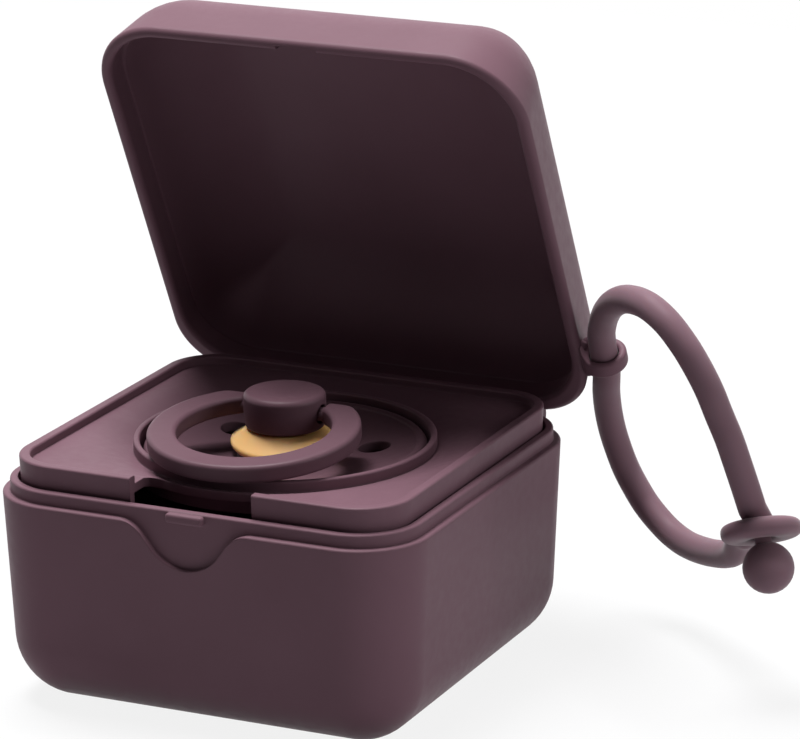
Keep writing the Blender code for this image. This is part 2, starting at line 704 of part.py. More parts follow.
def shield_profile():
    """Half of the shield's section: a rolled band, a shallow bowl and the boss round the bore."""
    inner_band = SHIELD_RADIUS - SHIELD_BAND_WIDTH
    half_band = SHIELD_BAND_WIDTH / 2
    band_low = BAND_TOP - SHIELD_BAND_HEIGHT
    bowl_edge_z = BAND_TOP - SHIELD_BAND_WIDTH / 3
    bowl_low = BAND_TOP - SHIELD_BOWL_DEPTH
    foot_radius = SHIELD_BOSS_RADIUS + SHIELD_THICKNESS
    top = arc((SHIELD_RADIUS - half_band, BAND_TOP - half_band), half_band, 0, 150, ARC_STEPS)
    points = [(SHIELD_RADIUS - half_band / 2, band_low)] + top
    bowl = []
    for step in range(ARC_STEPS + 1):
        share = step / ARC_STEPS
        radius = inner_band + (foot_radius - inner_band) * share
        bowl.append((radius, bowl_edge_z + (bowl_low - bowl_edge_z) * math.sin(share * math.pi / 2)))
    points += bowl[1:]
    points.append((SHIELD_BOSS_RADIUS, BOSS_TOP))
    points.append((SHIELD_BORE_RADIUS, BOSS_TOP))
    points.append((SHIELD_BORE_RADIUS, bowl_low - SHIELD_THICKNESS))
    for radius, z in reversed(bowl[1:]):
        points.append((radius, z - SHIELD_THICKNESS))
    points.append((inner_band, band_low))
    return points


def make_shield(parts, guides, material, pacifier):
    shield = turned("pacifier_shield", shield_profile(), parts)
    for index in range(VENT_COUNT):
        angle = math.radians(30 + 360 * index / VENT_COUNT)
        x = VENT_CIRCLE_RADIUS * math.cos(angle)
        y = VENT_CIRCLE_RADIUS * math.sin(angle)
        low = BAND_TOP - SHIELD_BOWL_DEPTH - SHIELD_THICKNESS - CUT_OVERRUN
        vent = rod(f"vent_{index}", (x, y, low), (x, y, BAND_TOP + CUT_OVERRUN), VENT_RADIUS, guides)
        boolean(shield, vent, "DIFFERENCE")
    finish(shield, material, pacifier)
    return shield


def make_teat(parts, material, pacifier):
    """The rubber teat: a flange under the knob, a neck through the shield and a round bulb."""
    tip = FLANGE_BOTTOM - TEAT_LENGTH
    bulb_z = tip + TEAT_BULB_RADIUS
    neck_low = BAND_TOP - SHIELD_BOWL_DEPTH - SHIELD_THICKNESS * 2
    flange_top = FLANGE_BOTTOM + FLANGE_THICKNESS
    waist_z = neck_low + (bulb_z - neck_low) * TEAT_WAIST_SHARE
    hollow = TEAT_BULB_RADIUS - TEAT_WALL
    profile = arc((0.0, bulb_z), hollow, -90, 40, ARC_STEPS)
    profile.append((TEAT_WAIST_RADIUS - TEAT_WALL, waist_z))
    profile.append((TEAT_NECK_RADIUS - TEAT_WALL, neck_low))
    profile.append((TEAT_NECK_RADIUS - TEAT_WALL, flange_top))
    profile.append((SHIELD_BOSS_RADIUS, flange_top))
    edge = FLANGE_THICKNESS / 2
    middle = (FLANGE_RADIUS - edge, FLANGE_BOTTOM - FLANGE_DROOP + edge)
    profile += arc(middle, edge, 60, -120, SMALL_ARC_STEPS * 2)
    profile.append((SHIELD_BOSS_RADIUS + CLEARANCE / 2, FLANGE_BOTTOM))
    profile.append((TEAT_NECK_RADIUS, FLANGE_BOTTOM))
    profile.append((TEAT_NECK_RADIUS, neck_low))
    profile.append((TEAT_WAIST_RADIUS, waist_z))
    profile += arc((0.0, bulb_z), TEAT_BULB_RADIUS, 40, -90, ARC_STEPS)
    profile = [(max(radius, 0.0), z) for radius, z in profile]
    teat = turned("pacifier_teat", profile, parts, SMALL_TURN_STEPS + SMALL_TURN_STEPS // 2, False)
    finish(teat, material, pacifier)
    return teat


def make_knob(parts, guides, material, pacifier):
    """The knob that closes the pacifier, with a stem down the teat and a socket on each side for the handle."""
    rounding = KNOB_ROUNDING
    stem_radius = TEAT_NECK_RADIUS - TEAT_WALL - CLEARANCE
    profile = [(0.0, KNOB_TOP - KNOB_DISH)]
    profile.append(((KNOB_TOP_RADIUS - rounding) / 2, KNOB_TOP - KNOB_DISH * 3 / 4))
    profile += arc((KNOB_TOP_RADIUS - rounding, KNOB_TOP - rounding), rounding, 90, 0, ARC_STEPS // 2)
    profile.append((KNOB_TOP_RADIUS, PIVOT_Z))
    profile += arc((KNOB_FOOT_RADIUS - rounding, KNOB_BOTTOM + rounding), rounding, 0, -90, ARC_STEPS // 2)
    profile.append((stem_radius, KNOB_BOTTOM))
    profile.append((stem_radius, KNOB_BOTTOM - STEM_LENGTH))
    profile.append((0.0, KNOB_BOTTOM - STEM_LENGTH))
    knob = turned("pacifier_knob", profile, parts, closed=False)
    for side in (-1, 1):
        deep = side * (KNOB_TOP_RADIUS - SOCKET_DEPTH)
        out = side * (KNOB_TOP_RADIUS + CUT_OVERRUN)
        socket = rod(f"socket_{side}", (deep, 0.0, PIVOT_Z), (out, 0.0, PIVOT_Z), SOCKET_RADIUS, guides)
        boolean(knob, socket, "DIFFERENCE")
    finish(knob, material, pacifier)
    return knob


def make_handle(parts, guides, material, pivot):
    """The C-shaped ring handle. Its own frame has the pivot at the origin and the ring out along -Y."""
    half = HANDLE_THICKNESS / 2
    edge = HANDLE_ROUNDING
    section = arc((HANDLE_OUTER_RADIUS - edge, half - edge), edge, 90, 0, SMALL_ARC_STEPS)
    section += arc((HANDLE_OUTER_RADIUS - edge, edge - half), edge, 0, -90, SMALL_ARC_STEPS)
    section += arc((HANDLE_INNER_RADIUS + edge, edge - half), edge, -90, -180, SMALL_ARC_STEPS)
    section += arc((HANDLE_INNER_RADIUS + edge, half - edge), edge, 180, 90, SMALL_ARC_STEPS)
    handle = turned("pacifier_handle", section, parts)
    apply_modifiers(handle)
    handle.data.transform(Matrix.Translation((0.0, -HANDLE_OFFSET, 0.0)))
    room = KNOB_TOP_RADIUS + CLEARANCE
    far = HANDLE_OUTER_RADIUS + CUT_OVERRUN
    tall = HANDLE_THICKNESS + CUT_OVERRUN
    gap = box("handle_gap", (-room, -room, -tall), (room, far, tall), guides)
    boolean(handle, gap, "DIFFERENCE")
    behind = box("handle_end", (-far, STUB_RADIUS + edge, -tall), (far, far, tall), guides)
    boolean(handle, behind, "DIFFERENCE")
    for side in (-1, 1):
        deep = side * (KNOB_TOP_RADIUS - SOCKET_DEPTH + CLEARANCE)
        out = side * (KNOB_TOP_RADIUS + CLEARANCE + EYELET_WALL)
        stub = rod(f"stub_{side}", (deep, 0.0, 0.0), (out, 0.0, 0.0), STUB_RADIUS, guides)
        boolean(handle, stub, "UNION")
    finish(handle, material, pivot)
    return handle


# The strap's loop in its own plane: how far out from the eyelet, and how far along its hole towards the lid's front
STRAP_ROUTE_SHARES = (
    (0.835, -0.262),
    (0.802, -0.350),
    (0.738, -0.446),
    (0.652, -0.513),
    (0.512, -0.585),
    (0.361, -0.640),
    (0.246, -0.655),
    (0.155, -0.643),
    (0.074, -0.613),
    (0.014, -0.563),
    (-0.030, -0.507),
    (-0.058, -0.431),
    (-0.072, -0.350),
    (-0.068, -0.262),
    (-0.048, -0.170),
    (-0.011, -0.070),
    (0.000, 0.000),
    (0.008, 0.070),
    (0.030, 0.140),
    (0.095, 0.240),
    (0.185, 0.330),
    (0.302, 0.405),
    (0.440, 0.450),
    (0.565, 0.446),
    (0.663, 0.403),
    (0.731, 0.347),
    (0.786, 0.278),
    (0.824, 0.194),
    (0.863, 0.113),
    (0.890, 0.022),
    (0.914, -0.069),
    (0.933, -0.150),
)
STRAP_RING_SHARES = (0.967, -0.228)


def smooth_route(points, count):
    """Points evenly along a Catmull-Rom curve through the given ones."""
    padded = [points[0] * 2 - points[1]] + list(points) + [points[-1] * 2 - points[-2]]
    dense = []
    fine = 12
    for before, start, end, after in zip(padded, padded[1:], padded[2:], padded[3:]):
        for step in range(fine):
            t = step / fine
            bend = (before * -1 + end) * t
            bend += (before * 2 - start * 5 + end * 4 - after) * t**2
            bend += (before * -1 + start * 3 - end * 3 + after) * t**3
            dense.append(start + bend / 2)
    dense.append(points[-1])
    along = [0.0]
    for near, far in zip(dense, dense[1:]):
        along.append(along[-1] + (far - near).length)
    route = []
    place = 0
    for index in range(count):
        goal = along[-1] * index / (count - 1)
        while place < len(dense) - 2 and along[place + 1] < goal:
            place += 1
        share = (goal - along[place]) / (along[place + 1] - along[place])
        route.append(dense[place].lerp(dense[place + 1], share))
    return route


def strap_point(out_share, along_share):
    """A place on the strap's plane, in the strap's own frame: hole axis along -Y, out along +X."""
    return Vector((out_share * STRAP_REACH, -along_share * STRAP_SPAN, 0.0))


def leaning(lean, twist):
    """A direction back along the hole, leaning out from the eyelet and twisted out of the loop's plane."""
    return Vector((math.sin(lean) * math.cos(twist), math.cos(lean) * math.cos(twist), -math.sin(twist)))


def make_strap(parts, guides, material, swing):
    """One silicone moulding: a round cord with a ring at one end and a ball at the other, closed through the eyelet."""
    route = smooth_route([strap_point(*shares) for shares in STRAP_ROUTE_SHARES], STRAP_ROUTE_STEPS)
    ring_centre = strap_point(*STRAP_RING_SHARES)
    ring_axis = leaning(STRAP_RING_LEAN, STRAP_RING_TWIST)
    neck_axis = leaning(STRAP_NECK_LEAN, STRAP_NECK_TWIST)
    ball_drop = STRAP_RING_HEIGHT / 2 + CLEARANCE + STRAP_BALL_RADIUS
    ball_centre = ring_centre + neck_axis * ball_drop
    curve = bpy.data.curves.new("strap_run", "CURVE")
    curve.dimensions = "3D"
    curve.bevel_depth = STRAP_RADIUS
    curve.bevel_resolution = STRAP_SIDE_STEPS
    curve.use_fill_caps = True
    neck = [ring_centre - neck_axis * (STRAP_RING_HEIGHT / 2 + CLEARANCE), ring_centre, ball_centre]
    points = route + neck
    spline = curve.splines.new("POLY")
    spline.points.add(len(points) - 1)
    neck_share = STRAP_NECK_RADIUS / STRAP_RADIUS
    for index, point in enumerate(points):
        spline.points[index].co = (*point, 1.0)
        spline.points[index].radius = 1.0 if index < len(route) else neck_share
    run = bpy.data.objects.new("strap_run", curve)
    guides.objects.link(run)
    bpy.context.view_layer.update()
    mesh = bpy.data.meshes.new_from_object(run.evaluated_get(bpy.context.evaluated_depsgraph_get()))
    bpy.data.objects.remove(run)
    body = bmesh.new()
    body.from_mesh(mesh)
    bmesh.ops.remove_doubles(body, verts=body.verts, dist=MERGE_DISTANCE)
    strap = object_from_bmesh("carry_strap", body, parts)
    width = (STRAP_RING_RADIUS - STRAP_RING_HOLE_RADIUS) / 2
    middle = STRAP_RING_HOLE_RADIUS + width
    flat_share = STRAP_RING_HEIGHT / 2 / width
    steps = SMALL_TURN_STEPS // 2 + 2
    section = [(r, z * flat_share) for r, z in arc((middle, 0.0), width, 90, 90 - 360 * (steps - 1) / steps, steps - 1)]
    ring = turned("strap_ring", section, guides, SMALL_TURN_STEPS)
    apply_modifiers(ring)
    facing = ring_axis.to_track_quat("Z", "Y").to_matrix().to_4x4()
    ring.data.transform(Matrix.Translation(ring_centre) @ facing)
    boolean(strap, ring, "UNION")
    ball_profile = arc((0.0, 0.0), STRAP_BALL_RADIUS, 90, -90, ARC_STEPS + 2)
    ball = turned("strap_ball", ball_profile, guides, SMALL_TURN_STEPS, False)
    apply_modifiers(ball)
    facing = neck_axis.to_track_quat("Z", "Y").to_matrix().to_4x4()
    ball.data.transform(Matrix.Translation(ball_centre) @ facing)
    boolean(strap, ball, "UNION")
    finish(strap, material, swing)
    return strap


def empty_at(name, place, collection, parent=None, turn=0.0, axis="X"):
    """An empty on a joint's axis."""
    made = bpy.data.objects.new(name, None)
    made.location = place
    made.rotation_euler["XYZ".index(axis)] = turn
    made.parent = parent
    collection.objects.link(made)
    return made


def main():
    clear_scene()
    parts = new_collection("pacifier_sterilizer_case")
    guides = new_collection("guides")
    shell = principled("matte_plum_plastic", PLUM, 0.55)
    tray_plastic = principled("tray_plum_plastic", PLUM, 0.5)
    shield_plastic = principled("pacifier_plum_plastic", PLUM, 0.5)
    silicone = principled("plum_silicone", SILICONE_PLUM, 0.6)
    rubber = principled("amber_rubber", AMBER, 0.35)
    steel = principled("pin_steel", STEEL, 0.3, 1.0)

    hinge = empty_at("lid_hinge_axis", (0.0, HINGE_Y, HINGE_Z), parts, turn=-LID_OPEN_ANGLE)
    eyelet = eyelet_centre() - Vector((0.0, HINGE_Y, HINGE_Z))
    swing = empty_at("strap_axis", eyelet, parts, hinge, STRAP_HANG_ANGLE, "Y")
    pacifier = empty_at("pacifier_axis", (0.0, 0.0, 0.0), parts)
    pivot = empty_at("handle_axis", (0.0, 0.0, PIVOT_Z), parts, pacifier, HANDLE_TILT)

    made = [
        make_base(parts, guides, shell),
        make_tray(parts, guides, tray_plastic),
        make_lid(parts, guides, shell, hinge),
        make_pin(parts, steel, hinge),
        make_shield(parts, guides, shield_plastic, pacifier),
        make_teat(parts, rubber, pacifier),
        make_knob(parts, guides, shield_plastic, pacifier),
        make_handle(parts, guides, shield_plastic, pivot),
        make_strap(parts, guides, silicone, swing),
    ]
    for piece in made:
        smooth(piece)
    for guide in list(guides.objects):
        bpy.data.objects.remove(guide)
    bpy.data.collections.remove(guides)


main()
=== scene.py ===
import json
import math

import bmesh
import bpy
from mathutils import Matrix, Vector

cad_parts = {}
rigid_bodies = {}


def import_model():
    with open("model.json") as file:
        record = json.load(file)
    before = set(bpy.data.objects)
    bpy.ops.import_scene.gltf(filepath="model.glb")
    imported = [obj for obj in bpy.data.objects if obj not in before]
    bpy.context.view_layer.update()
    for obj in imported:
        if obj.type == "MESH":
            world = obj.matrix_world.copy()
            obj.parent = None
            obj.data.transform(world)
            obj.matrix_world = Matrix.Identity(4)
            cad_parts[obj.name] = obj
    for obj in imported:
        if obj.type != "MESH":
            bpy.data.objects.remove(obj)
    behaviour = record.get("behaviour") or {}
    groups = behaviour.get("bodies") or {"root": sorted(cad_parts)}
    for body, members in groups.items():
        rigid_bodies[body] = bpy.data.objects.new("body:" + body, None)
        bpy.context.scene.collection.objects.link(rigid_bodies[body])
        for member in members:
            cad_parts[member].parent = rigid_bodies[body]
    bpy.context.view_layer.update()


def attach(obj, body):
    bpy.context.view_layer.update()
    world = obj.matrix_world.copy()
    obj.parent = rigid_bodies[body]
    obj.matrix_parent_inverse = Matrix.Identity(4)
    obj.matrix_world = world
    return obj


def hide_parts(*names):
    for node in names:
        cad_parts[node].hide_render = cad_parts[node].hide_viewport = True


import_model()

MM = 0.001

# Case outline at the ledge where lid and base meet
CASE_WIDTH = 70.0 * MM
CASE_DEPTH = 68.6 * MM
CORNER_RADIUS = 11.0 * MM
LEAST_CORNER_RADIUS = 0.8 * MM

# Base shell
LEDGE_HEIGHT = 33.1 * MM
BASE_DRAFT_SHARE = 0.049
BASE_EDGE_RADIUS = 10.0 * MM
BASE_FLOOR = 2.0 * MM
LEDGE_ROUNDING = 0.4 * MM
RIM_SETBACK = 1.15 * MM
RIM_THICKNESS = 1.2 * MM
RIM_HEIGHT = 2.0 * MM
RIM_ROUNDING = 0.35 * MM

# Thumb scoop and latch nub at the front of the base
SCOOP_WIDTH = 22.4 * MM
SCOOP_DEPTH = 6.9 * MM
SCOOP_BOTTOM_RADIUS = 6.9 * MM
SCOOP_SHOULDER_RADIUS = 5.2 * MM
NUB_WIDTH = 6.2 * MM
NUB_HEIGHT = 1.5 * MM
NUB_REACH = 0.95 * MM
NUB_BELOW_RIM = 0.2 * MM

# Ribs inside the base that carry the tray
RIB_THICKNESS = 1.4 * MM
RIB_REACH = 2.4 * MM
RIB_TOP_HEIGHT = 27.0 * MM
RIB_SPACING_X = 36.0 * MM
RIB_SPACING_Y = 34.0 * MM

# Running gap between pieces that meet
CLEARANCE = 0.3 * MM

# Steam tray
TRAY_STAND = 3.6 * MM
TRAY_WALL = 1.4 * MM
TRAY_BORDER_WIDTH = 1.7 * MM
TRAY_BORDER_HEIGHT = 1.3 * MM
TRAY_ROUNDING = 0.35 * MM
TRAY_PLATE = 1.4 * MM
DISH_RADIUS = 29.0 * MM
DISH_DEPTH = 1.6 * MM
COLLAR_RADIUS = 23.35 * MM
COLLAR_WALL = 1.0 * MM
COLLAR_STAND = 0.2 * MM
SHELF_DEPTH = 3.65 * MM
SHELF_WIDTH = 3.85 * MM
NOTCH_WIDTH = 20.2 * MM
NOTCH_MARGIN = 2.35 * MM
NOTCH_FILLET = 1.5 * MM
NOTCH_DEPTH = 6.6 * MM

# Lid shell, measured with the lid closed
LID_OVERHANG = 1.2 * MM
LID_FRONT_OVERHANG = 0.85 * MM
LID_BACK_OVERHANG = 1.55 * MM
LID_FRONT_CORNER_RADIUS = 12.2 * MM
LID_BACK_CORNER_RADIUS = 10.2 * MM
LID_HEIGHT = 20.0 * MM
LID_WALL = 1.8 * MM
LID_DRAFT_SHARE = 0.18
LID_EDGE_RADIUS = 13.5 * MM
LID_RIM_ROUNDING = 1.0 * MM
LID_LIP_ROUNDING = 0.8 * MM
REBATE_DEPTH = 4.0 * MM
LID_OPEN_ANGLE = math.radians(64.0)

# Hinge at the back
HINGE_BEHIND_WALL = 2.2 * MM
HINGE_ABOVE_LEDGE = 0.05 * MM
KNUCKLE_RADIUS = 1.9 * MM
PIN_RADIUS = 0.8 * MM
HINGE_LENGTH = 54.0 * MM
BASE_KNUCKLE_LENGTH = 7.0 * MM
PIN_END_COVER = 1.0 * MM
PIN_CLEARANCE = 0.3 * MM
HINGE_WEB_DEPTH = 3.4 * MM

# Strap eyelet on the right side of the lid
EYELET_BORE_RADIUS = 2.4 * MM
EYELET_WALL = 1.2 * MM
EYELET_THICKNESS = 2.5 * MM
EYELET_ROUNDING = 0.5 * MM
EYELET_FROM_HINGE = 12.7 * MM
EYELET_ABOVE_HINGE = 1.9 * MM
EYELET_OUT = 3.2 * MM
EYELET_WEB_LENGTH = 7.6 * MM
EYELET_WEB_HEIGHT = 2.6 * MM
EYELET_FLARE_START = 1.2 * MM
EYELET_FLARE_LENGTH = 1.8 * MM
EYELET_FLARE_SHARE = 1.4

# Pacifier
SHIELD_RADIUS = 21.8 * MM
SHIELD_THICKNESS = 1.6 * MM
SHIELD_BAND_WIDTH = 1.8 * MM
SHIELD_BAND_HEIGHT = 2.4 * MM
SHIELD_BOWL_DEPTH = 2.2 * MM
SHIELD_BOSS_RADIUS = 6.6 * MM
SHIELD_BOSS_RISE = 0.3 * MM
SHIELD_BORE_RADIUS = 5.8 * MM
VENT_RADIUS = 2.55 * MM
VENT_CIRCLE_RADIUS = 13.7 * MM
VENT_COUNT = 3
VENT_FIRST_DEGREES = 30
SHIELD_BAND_END_DEGREES = 150
FLANGE_RADIUS = 8.45 * MM
FLANGE_THICKNESS = 1.5 * MM
FLANGE_DROOP = 1.45 * MM
FLANGE_EDGE = 1.3 * MM
FLANGE_SADDLE = 0.45 * MM
FLANGE_EDGE_DEGREES = (55, -150)
TEAT_WALL = 1.4 * MM
TEAT_NECK_RADIUS = 5.5 * MM
TEAT_BULB_RADIUS = 7.6 * MM
TEAT_LENGTH = 30.0 * MM
TEAT_WAIST_RADIUS = 4.6 * MM
TEAT_WAIST_SHARE = 0.45
TEAT_BULB_DEGREES = 40
KNOB_TOP_RADIUS = 6.35 * MM
KNOB_FOOT_RADIUS = 6.1 * MM
KNOB_HEIGHT = 5.5 * MM
KNOB_ROUNDING = 0.9 * MM
KNOB_FOOT_ROUNDING = 0.35 * MM
KNOB_DISH = 0.5 * MM
STEM_LENGTH = 6.0 * MM
PIVOT_BELOW_TOP = 3.0 * MM
SOCKET_RADIUS = 1.5 * MM
SOCKET_DEPTH = 1.7 * MM
HANDLE_OUTER_RADIUS = 16.3 * MM
HANDLE_INNER_RADIUS = 11.8 * MM
HANDLE_THICKNESS = 2.8 * MM
HANDLE_ROUNDING = 0.7 * MM
HANDLE_OFFSET = 10.5 * MM
HANDLE_END_REACH = 1.8 * MM
HANDLE_END_RADIUS = 2.7 * MM
HANDLE_HOOK_RADIUS = 0.8 * MM
HANDLE_TILT = math.radians(5.0)
HANDLE_EDGE_ANGLE = math.radians(60)
STUB_RADIUS = 1.1 * MM

# Silicone carry strap
STRAP_RADIUS = 2.2 * MM
STRAP_NECK_RADIUS = 1.3 * MM
STRAP_REACH = 40.0 * MM
STRAP_SPAN = 48.0 * MM
STRAP_HANG_ANGLE = math.radians(34.5)
STRAP_RING_RADIUS = 6.2 * MM
STRAP_RING_HOLE_RADIUS = 1.5 * MM
STRAP_RING_HEIGHT = 3.0 * MM
STRAP_RING_LEAN = math.radians(46.0)
STRAP_RING_TWIST = math.radians(26.0)
STRAP_NECK_LEAN = math.radians(47.0)
STRAP_NECK_TWIST = math.radians(22.0)
STRAP_BALL_RADIUS = 3.95 * MM

# How finely round shapes are divided
CORNER_STEPS = 24
ARC_STEPS = 14
SMALL_ARC_STEPS = 6
TURN_STEPS = 128
SMALL_TURN_STEPS = 64
STRAP_SIDE_STEPS = 10
STRAP_ROUTE_STEPS = 220
STRAP_FINE_STEPS = 12
CUT_OVERRUN = 2.0 * MM
JOIN_OVERLAP = 0.5 * MM
MERGE_DISTANCE = 0.002 * MM

# Sizes that follow from the ones above
HALF_WIDTH = CASE_WIDTH / 2
HALF_DEPTH = CASE_DEPTH / 2
RIM_TOP = LEDGE_HEIGHT + RIM_HEIGHT
WALL_INSET = RIM_SETBACK + RIM_THICKNESS
TRAY_INSET = WALL_INSET + CLEARANCE
TRAY_TOP = RIM_TOP + TRAY_STAND
PLATE_TOP = TRAY_TOP - TRAY_BORDER_HEIGHT
COLLAR_TOP = PLATE_TOP + COLLAR_STAND
SHELF_TOP = COLLAR_TOP - SHELF_DEPTH
COLLAR_BORE = COLLAR_RADIUS - COLLAR_WALL
TRAY_FOOT = RIB_TOP_HEIGHT + CLEARANCE
LID_RIM_HEIGHT = LEDGE_HEIGHT + CLEARANCE
HINGE_Y = HALF_DEPTH + HINGE_BEHIND_WALL
HINGE_Z = LEDGE_HEIGHT + HINGE_ABOVE_LEDGE
LID_HALF_WIDTH = HALF_WIDTH + LID_OVERHANG
LID_BORE_INSET = RIM_SETBACK - CLEARANCE
BAND_TOP = SHELF_TOP + CLEARANCE + SHIELD_BAND_HEIGHT
BOSS_TOP = BAND_TOP + SHIELD_BOSS_RISE
FLANGE_BOTTOM = BOSS_TOP + CLEARANCE
KNOB_BOTTOM = FLANGE_BOTTOM + FLANGE_THICKNESS + CLEARANCE
KNOB_TOP = KNOB_BOTTOM + KNOB_HEIGHT
PIVOT_Z = KNOB_TOP - PIVOT_BELOW_TOP

# Camera fitted to the photograph
CAMERA_PLACE = Vector((302.2, -598.2, 251.7)) * MM
CAMERA_RIGHT = Vector((0.905543, 0.424111, -0.011003))
CAMERA_UP = Vector((-0.114021, 0.268269, 0.956573))
CAMERA_SENSOR = 36.0
CAMERA_LENS = 206.2

# Linear colours
PLUM = (0.152, 0.082, 0.105, 1.0)
PLUM_DEEP = (0.132, 0.069, 0.089, 1.0)
PACIFIER_PLUM = (0.118, 0.063, 0.081, 1.0)
PACIFIER_DEEP = (0.104, 0.054, 0.070, 1.0)
SILICONE = (0.190, 0.112, 0.138, 1.0)
SILICONE_DEEP = (0.160, 0.090, 0.112, 1.0)
AMBER = (0.840, 0.500, 0.200, 1.0)
AMBER_DEEP = (0.780, 0.440, 0.160, 1.0)
STEEL = (0.560, 0.560, 0.580, 1.0)
STEEL_DEEP = (0.420, 0.420, 0.440, 1.0)
WHITE = (1.0, 1.0, 1.0, 1.0)
FLOOR_GREY = (0.45, 0.45, 0.46, 1.0)

# Surface of each material, with its grain as a share of the case's
SHELL_ROUGHNESS = 0.46
SHELL_GLOSS = 0.08
TRAY_ROUGHNESS = 0.44
TRAY_GLOSS = 0.08
PACIFIER_ROUGHNESS = 0.42
PACIFIER_GLOSS = 0.10
PACIFIER_GRAIN_SHARE = 0.6
SILICONE_ROUGHNESS = 0.52
SILICONE_GLOSS = 0.08
SILICONE_GRAIN_SHARE = 0.5
SILICONE_SHEEN = 0.15
SILICONE_SHEEN_ROUGHNESS = 0.4
SILICONE_SUBSURFACE = 0.08
SILICONE_SUBSURFACE_DEPTH = 1.0 * MM
RUBBER_ROUGHNESS = 0.50
RUBBER_GLOSS = 0.25
RUBBER_GRAIN_SHARE = 0.3
RUBBER_SUBSURFACE = 0.35
RUBBER_SUBSURFACE_SHARES = (1.0, 0.45, 0.15)
RUBBER_SUBSURFACE_DEPTH = 1.2 * MM
STEEL_ROUGHNESS = 0.28
STEEL_GLOSS = 0.5
STEEL_GRAIN_SHARE = 0.3

# Material detail
EDGE_SOFTENING = 0.35 * MM
SOFTENING_SAMPLE_COUNT = 6
NOISE_LOW = 0.3
NOISE_HIGH = 0.7
CLOUD_SIZE = 18.0 * MM
CLOUD_DETAIL = 3.0
CLOUD_LEAST_SHARE = 0.35
GRAIN_SIZE = 0.22 * MM
GRAIN_DETAIL = 2.0
GRAIN_DEPTH = 0.02 * MM
GRAIN_STRENGTH = 0.35
SCUFF_SIZE = 1.6 * MM
SCUFF_DETAIL = 6.0
SCUFF_SPREAD = 0.05
SHARP_ANGLE = math.radians(32.0)

# Studio
FLOOR_SIZE = 900.0 * MM
FLOOR_DROP = 0.05 * MM
KEY_PLACE = Vector((-170.0, 130.0, 860.0)) * MM
KEY_SIZE = 420.0 * MM
KEY_WATTS = 15.0
SIDE_PLACE = Vector((850.0, 60.0, 330.0)) * MM
SIDE_SIZE = 500.0 * MM
SIDE_WATTS = 2.8
LIGHT_AIM = Vector((0.0, 0.0, 45.0)) * MM
AMBIENT = 0.04
FLOOR_GLOW = 1.08
FLOOR_SHADE_SHARE = 0.2
FLOOR_ROUGHNESS = 0.9
FLOOR_GLOSS = 0.1


def camera_at_photo():
    """The camera, at the photograph's place, turn and angle of view."""
    data = bpy.data.cameras.new("camera")
    data.sensor_width = CAMERA_SENSOR
    data.lens = CAMERA_LENS
    camera = bpy.data.objects.new("camera", data)
    bpy.context.scene.collection.objects.link(camera)
    back = CAMERA_RIGHT.cross(CAMERA_UP)
    turn = Matrix((CAMERA_RIGHT, CAMERA_UP, back)).transposed().to_4x4()
    camera.matrix_world = Matrix.Translation(CAMERA_PLACE) @ turn
    bpy.context.scene.camera = camera


def soft_light(name, place, size, watts):
    """A square area lamp that faces the middle of the case."""
    lamp = bpy.data.lights.new(name, "AREA")
    lamp.size = size
    lamp.energy = watts
    made = bpy.data.objects.new(name, lamp)
    made.location = place
    made.rotation_euler = (LIGHT_AIM - place).to_track_quat("-Z", "Y").to_euler()
    bpy.context.scene.collection.objects.link(made)


def background_rays(tree):
    """1 for rays that see the background: the camera's own, mirrored and refracted ones."""
    path = tree.nodes.new("ShaderNodeLightPath")
    seen = path.outputs["Is Camera Ray"]
    for name in ("Is Transmission Ray", "Is Glossy Ray"):
        either = tree.nodes.new("ShaderNodeMath")
        either.operation = "MAXIMUM"
        tree.links.new(seen, either.inputs[0])
        tree.links.new(path.outputs[name], either.inputs[1])
        seen = either.outputs[0]
    return seen


def studio_world():
    """White to the camera, a soft grey to everything that it lights."""
    world = bpy.data.worlds.new("studio")
    world.use_nodes = True
    tree = world.node_tree
    tree.nodes.clear()
    out = tree.nodes.new("ShaderNodeOutputWorld")
    mix = tree.nodes.new("ShaderNodeMixShader")
    for side, strength in ((1, AMBIENT), (2, 1.0)):
        sky = tree.nodes.new("ShaderNodeBackground")
        sky.inputs["Color"].default_value = WHITE
        sky.inputs["Strength"].default_value = strength
        tree.links.new(sky.outputs[0], mix.inputs[side])
    tree.links.new(background_rays(tree), mix.inputs["Fac"])
    tree.links.new(mix.outputs[0], out.inputs["Surface"])
    bpy.context.scene.world = world


def floor_material():
    """White to the camera, with a light shadow."""
    material = bpy.data.materials.new("pale_floor")
    material.use_nodes = True
    tree = material.node_tree
    shader = tree.nodes["Principled BSDF"]
    shader.inputs["Base Color"].default_value = FLOOR_GREY
    shader.inputs["Roughness"].default_value = FLOOR_ROUGHNESS
    shader.inputs["Specular IOR Level"].default_value = FLOOR_GLOSS
    glow = tree.nodes.new("ShaderNodeEmission")
    glow.inputs["Color"].default_value = WHITE
    glow.inputs["Strength"].default_value = FLOOR_GLOW
    mix = tree.nodes.new("ShaderNodeMixShader")
    weight = tree.nodes.new("ShaderNodeMath")
    weight.operation = "MULTIPLY"
    weight.inputs[1].default_value = 1.0 - FLOOR_SHADE_SHARE
    tree.links.new(background_rays(tree), weight.inputs[0])
    tree.links.new(weight.outputs[0], mix.inputs["Fac"])
    tree.links.new(shader.outputs[0], mix.inputs[1])
    tree.links.new(glow.outputs[0], mix.inputs[2])
    tree.links.new(mix.outputs[0], tree.nodes["Material Output"].inputs["Surface"])
    return material


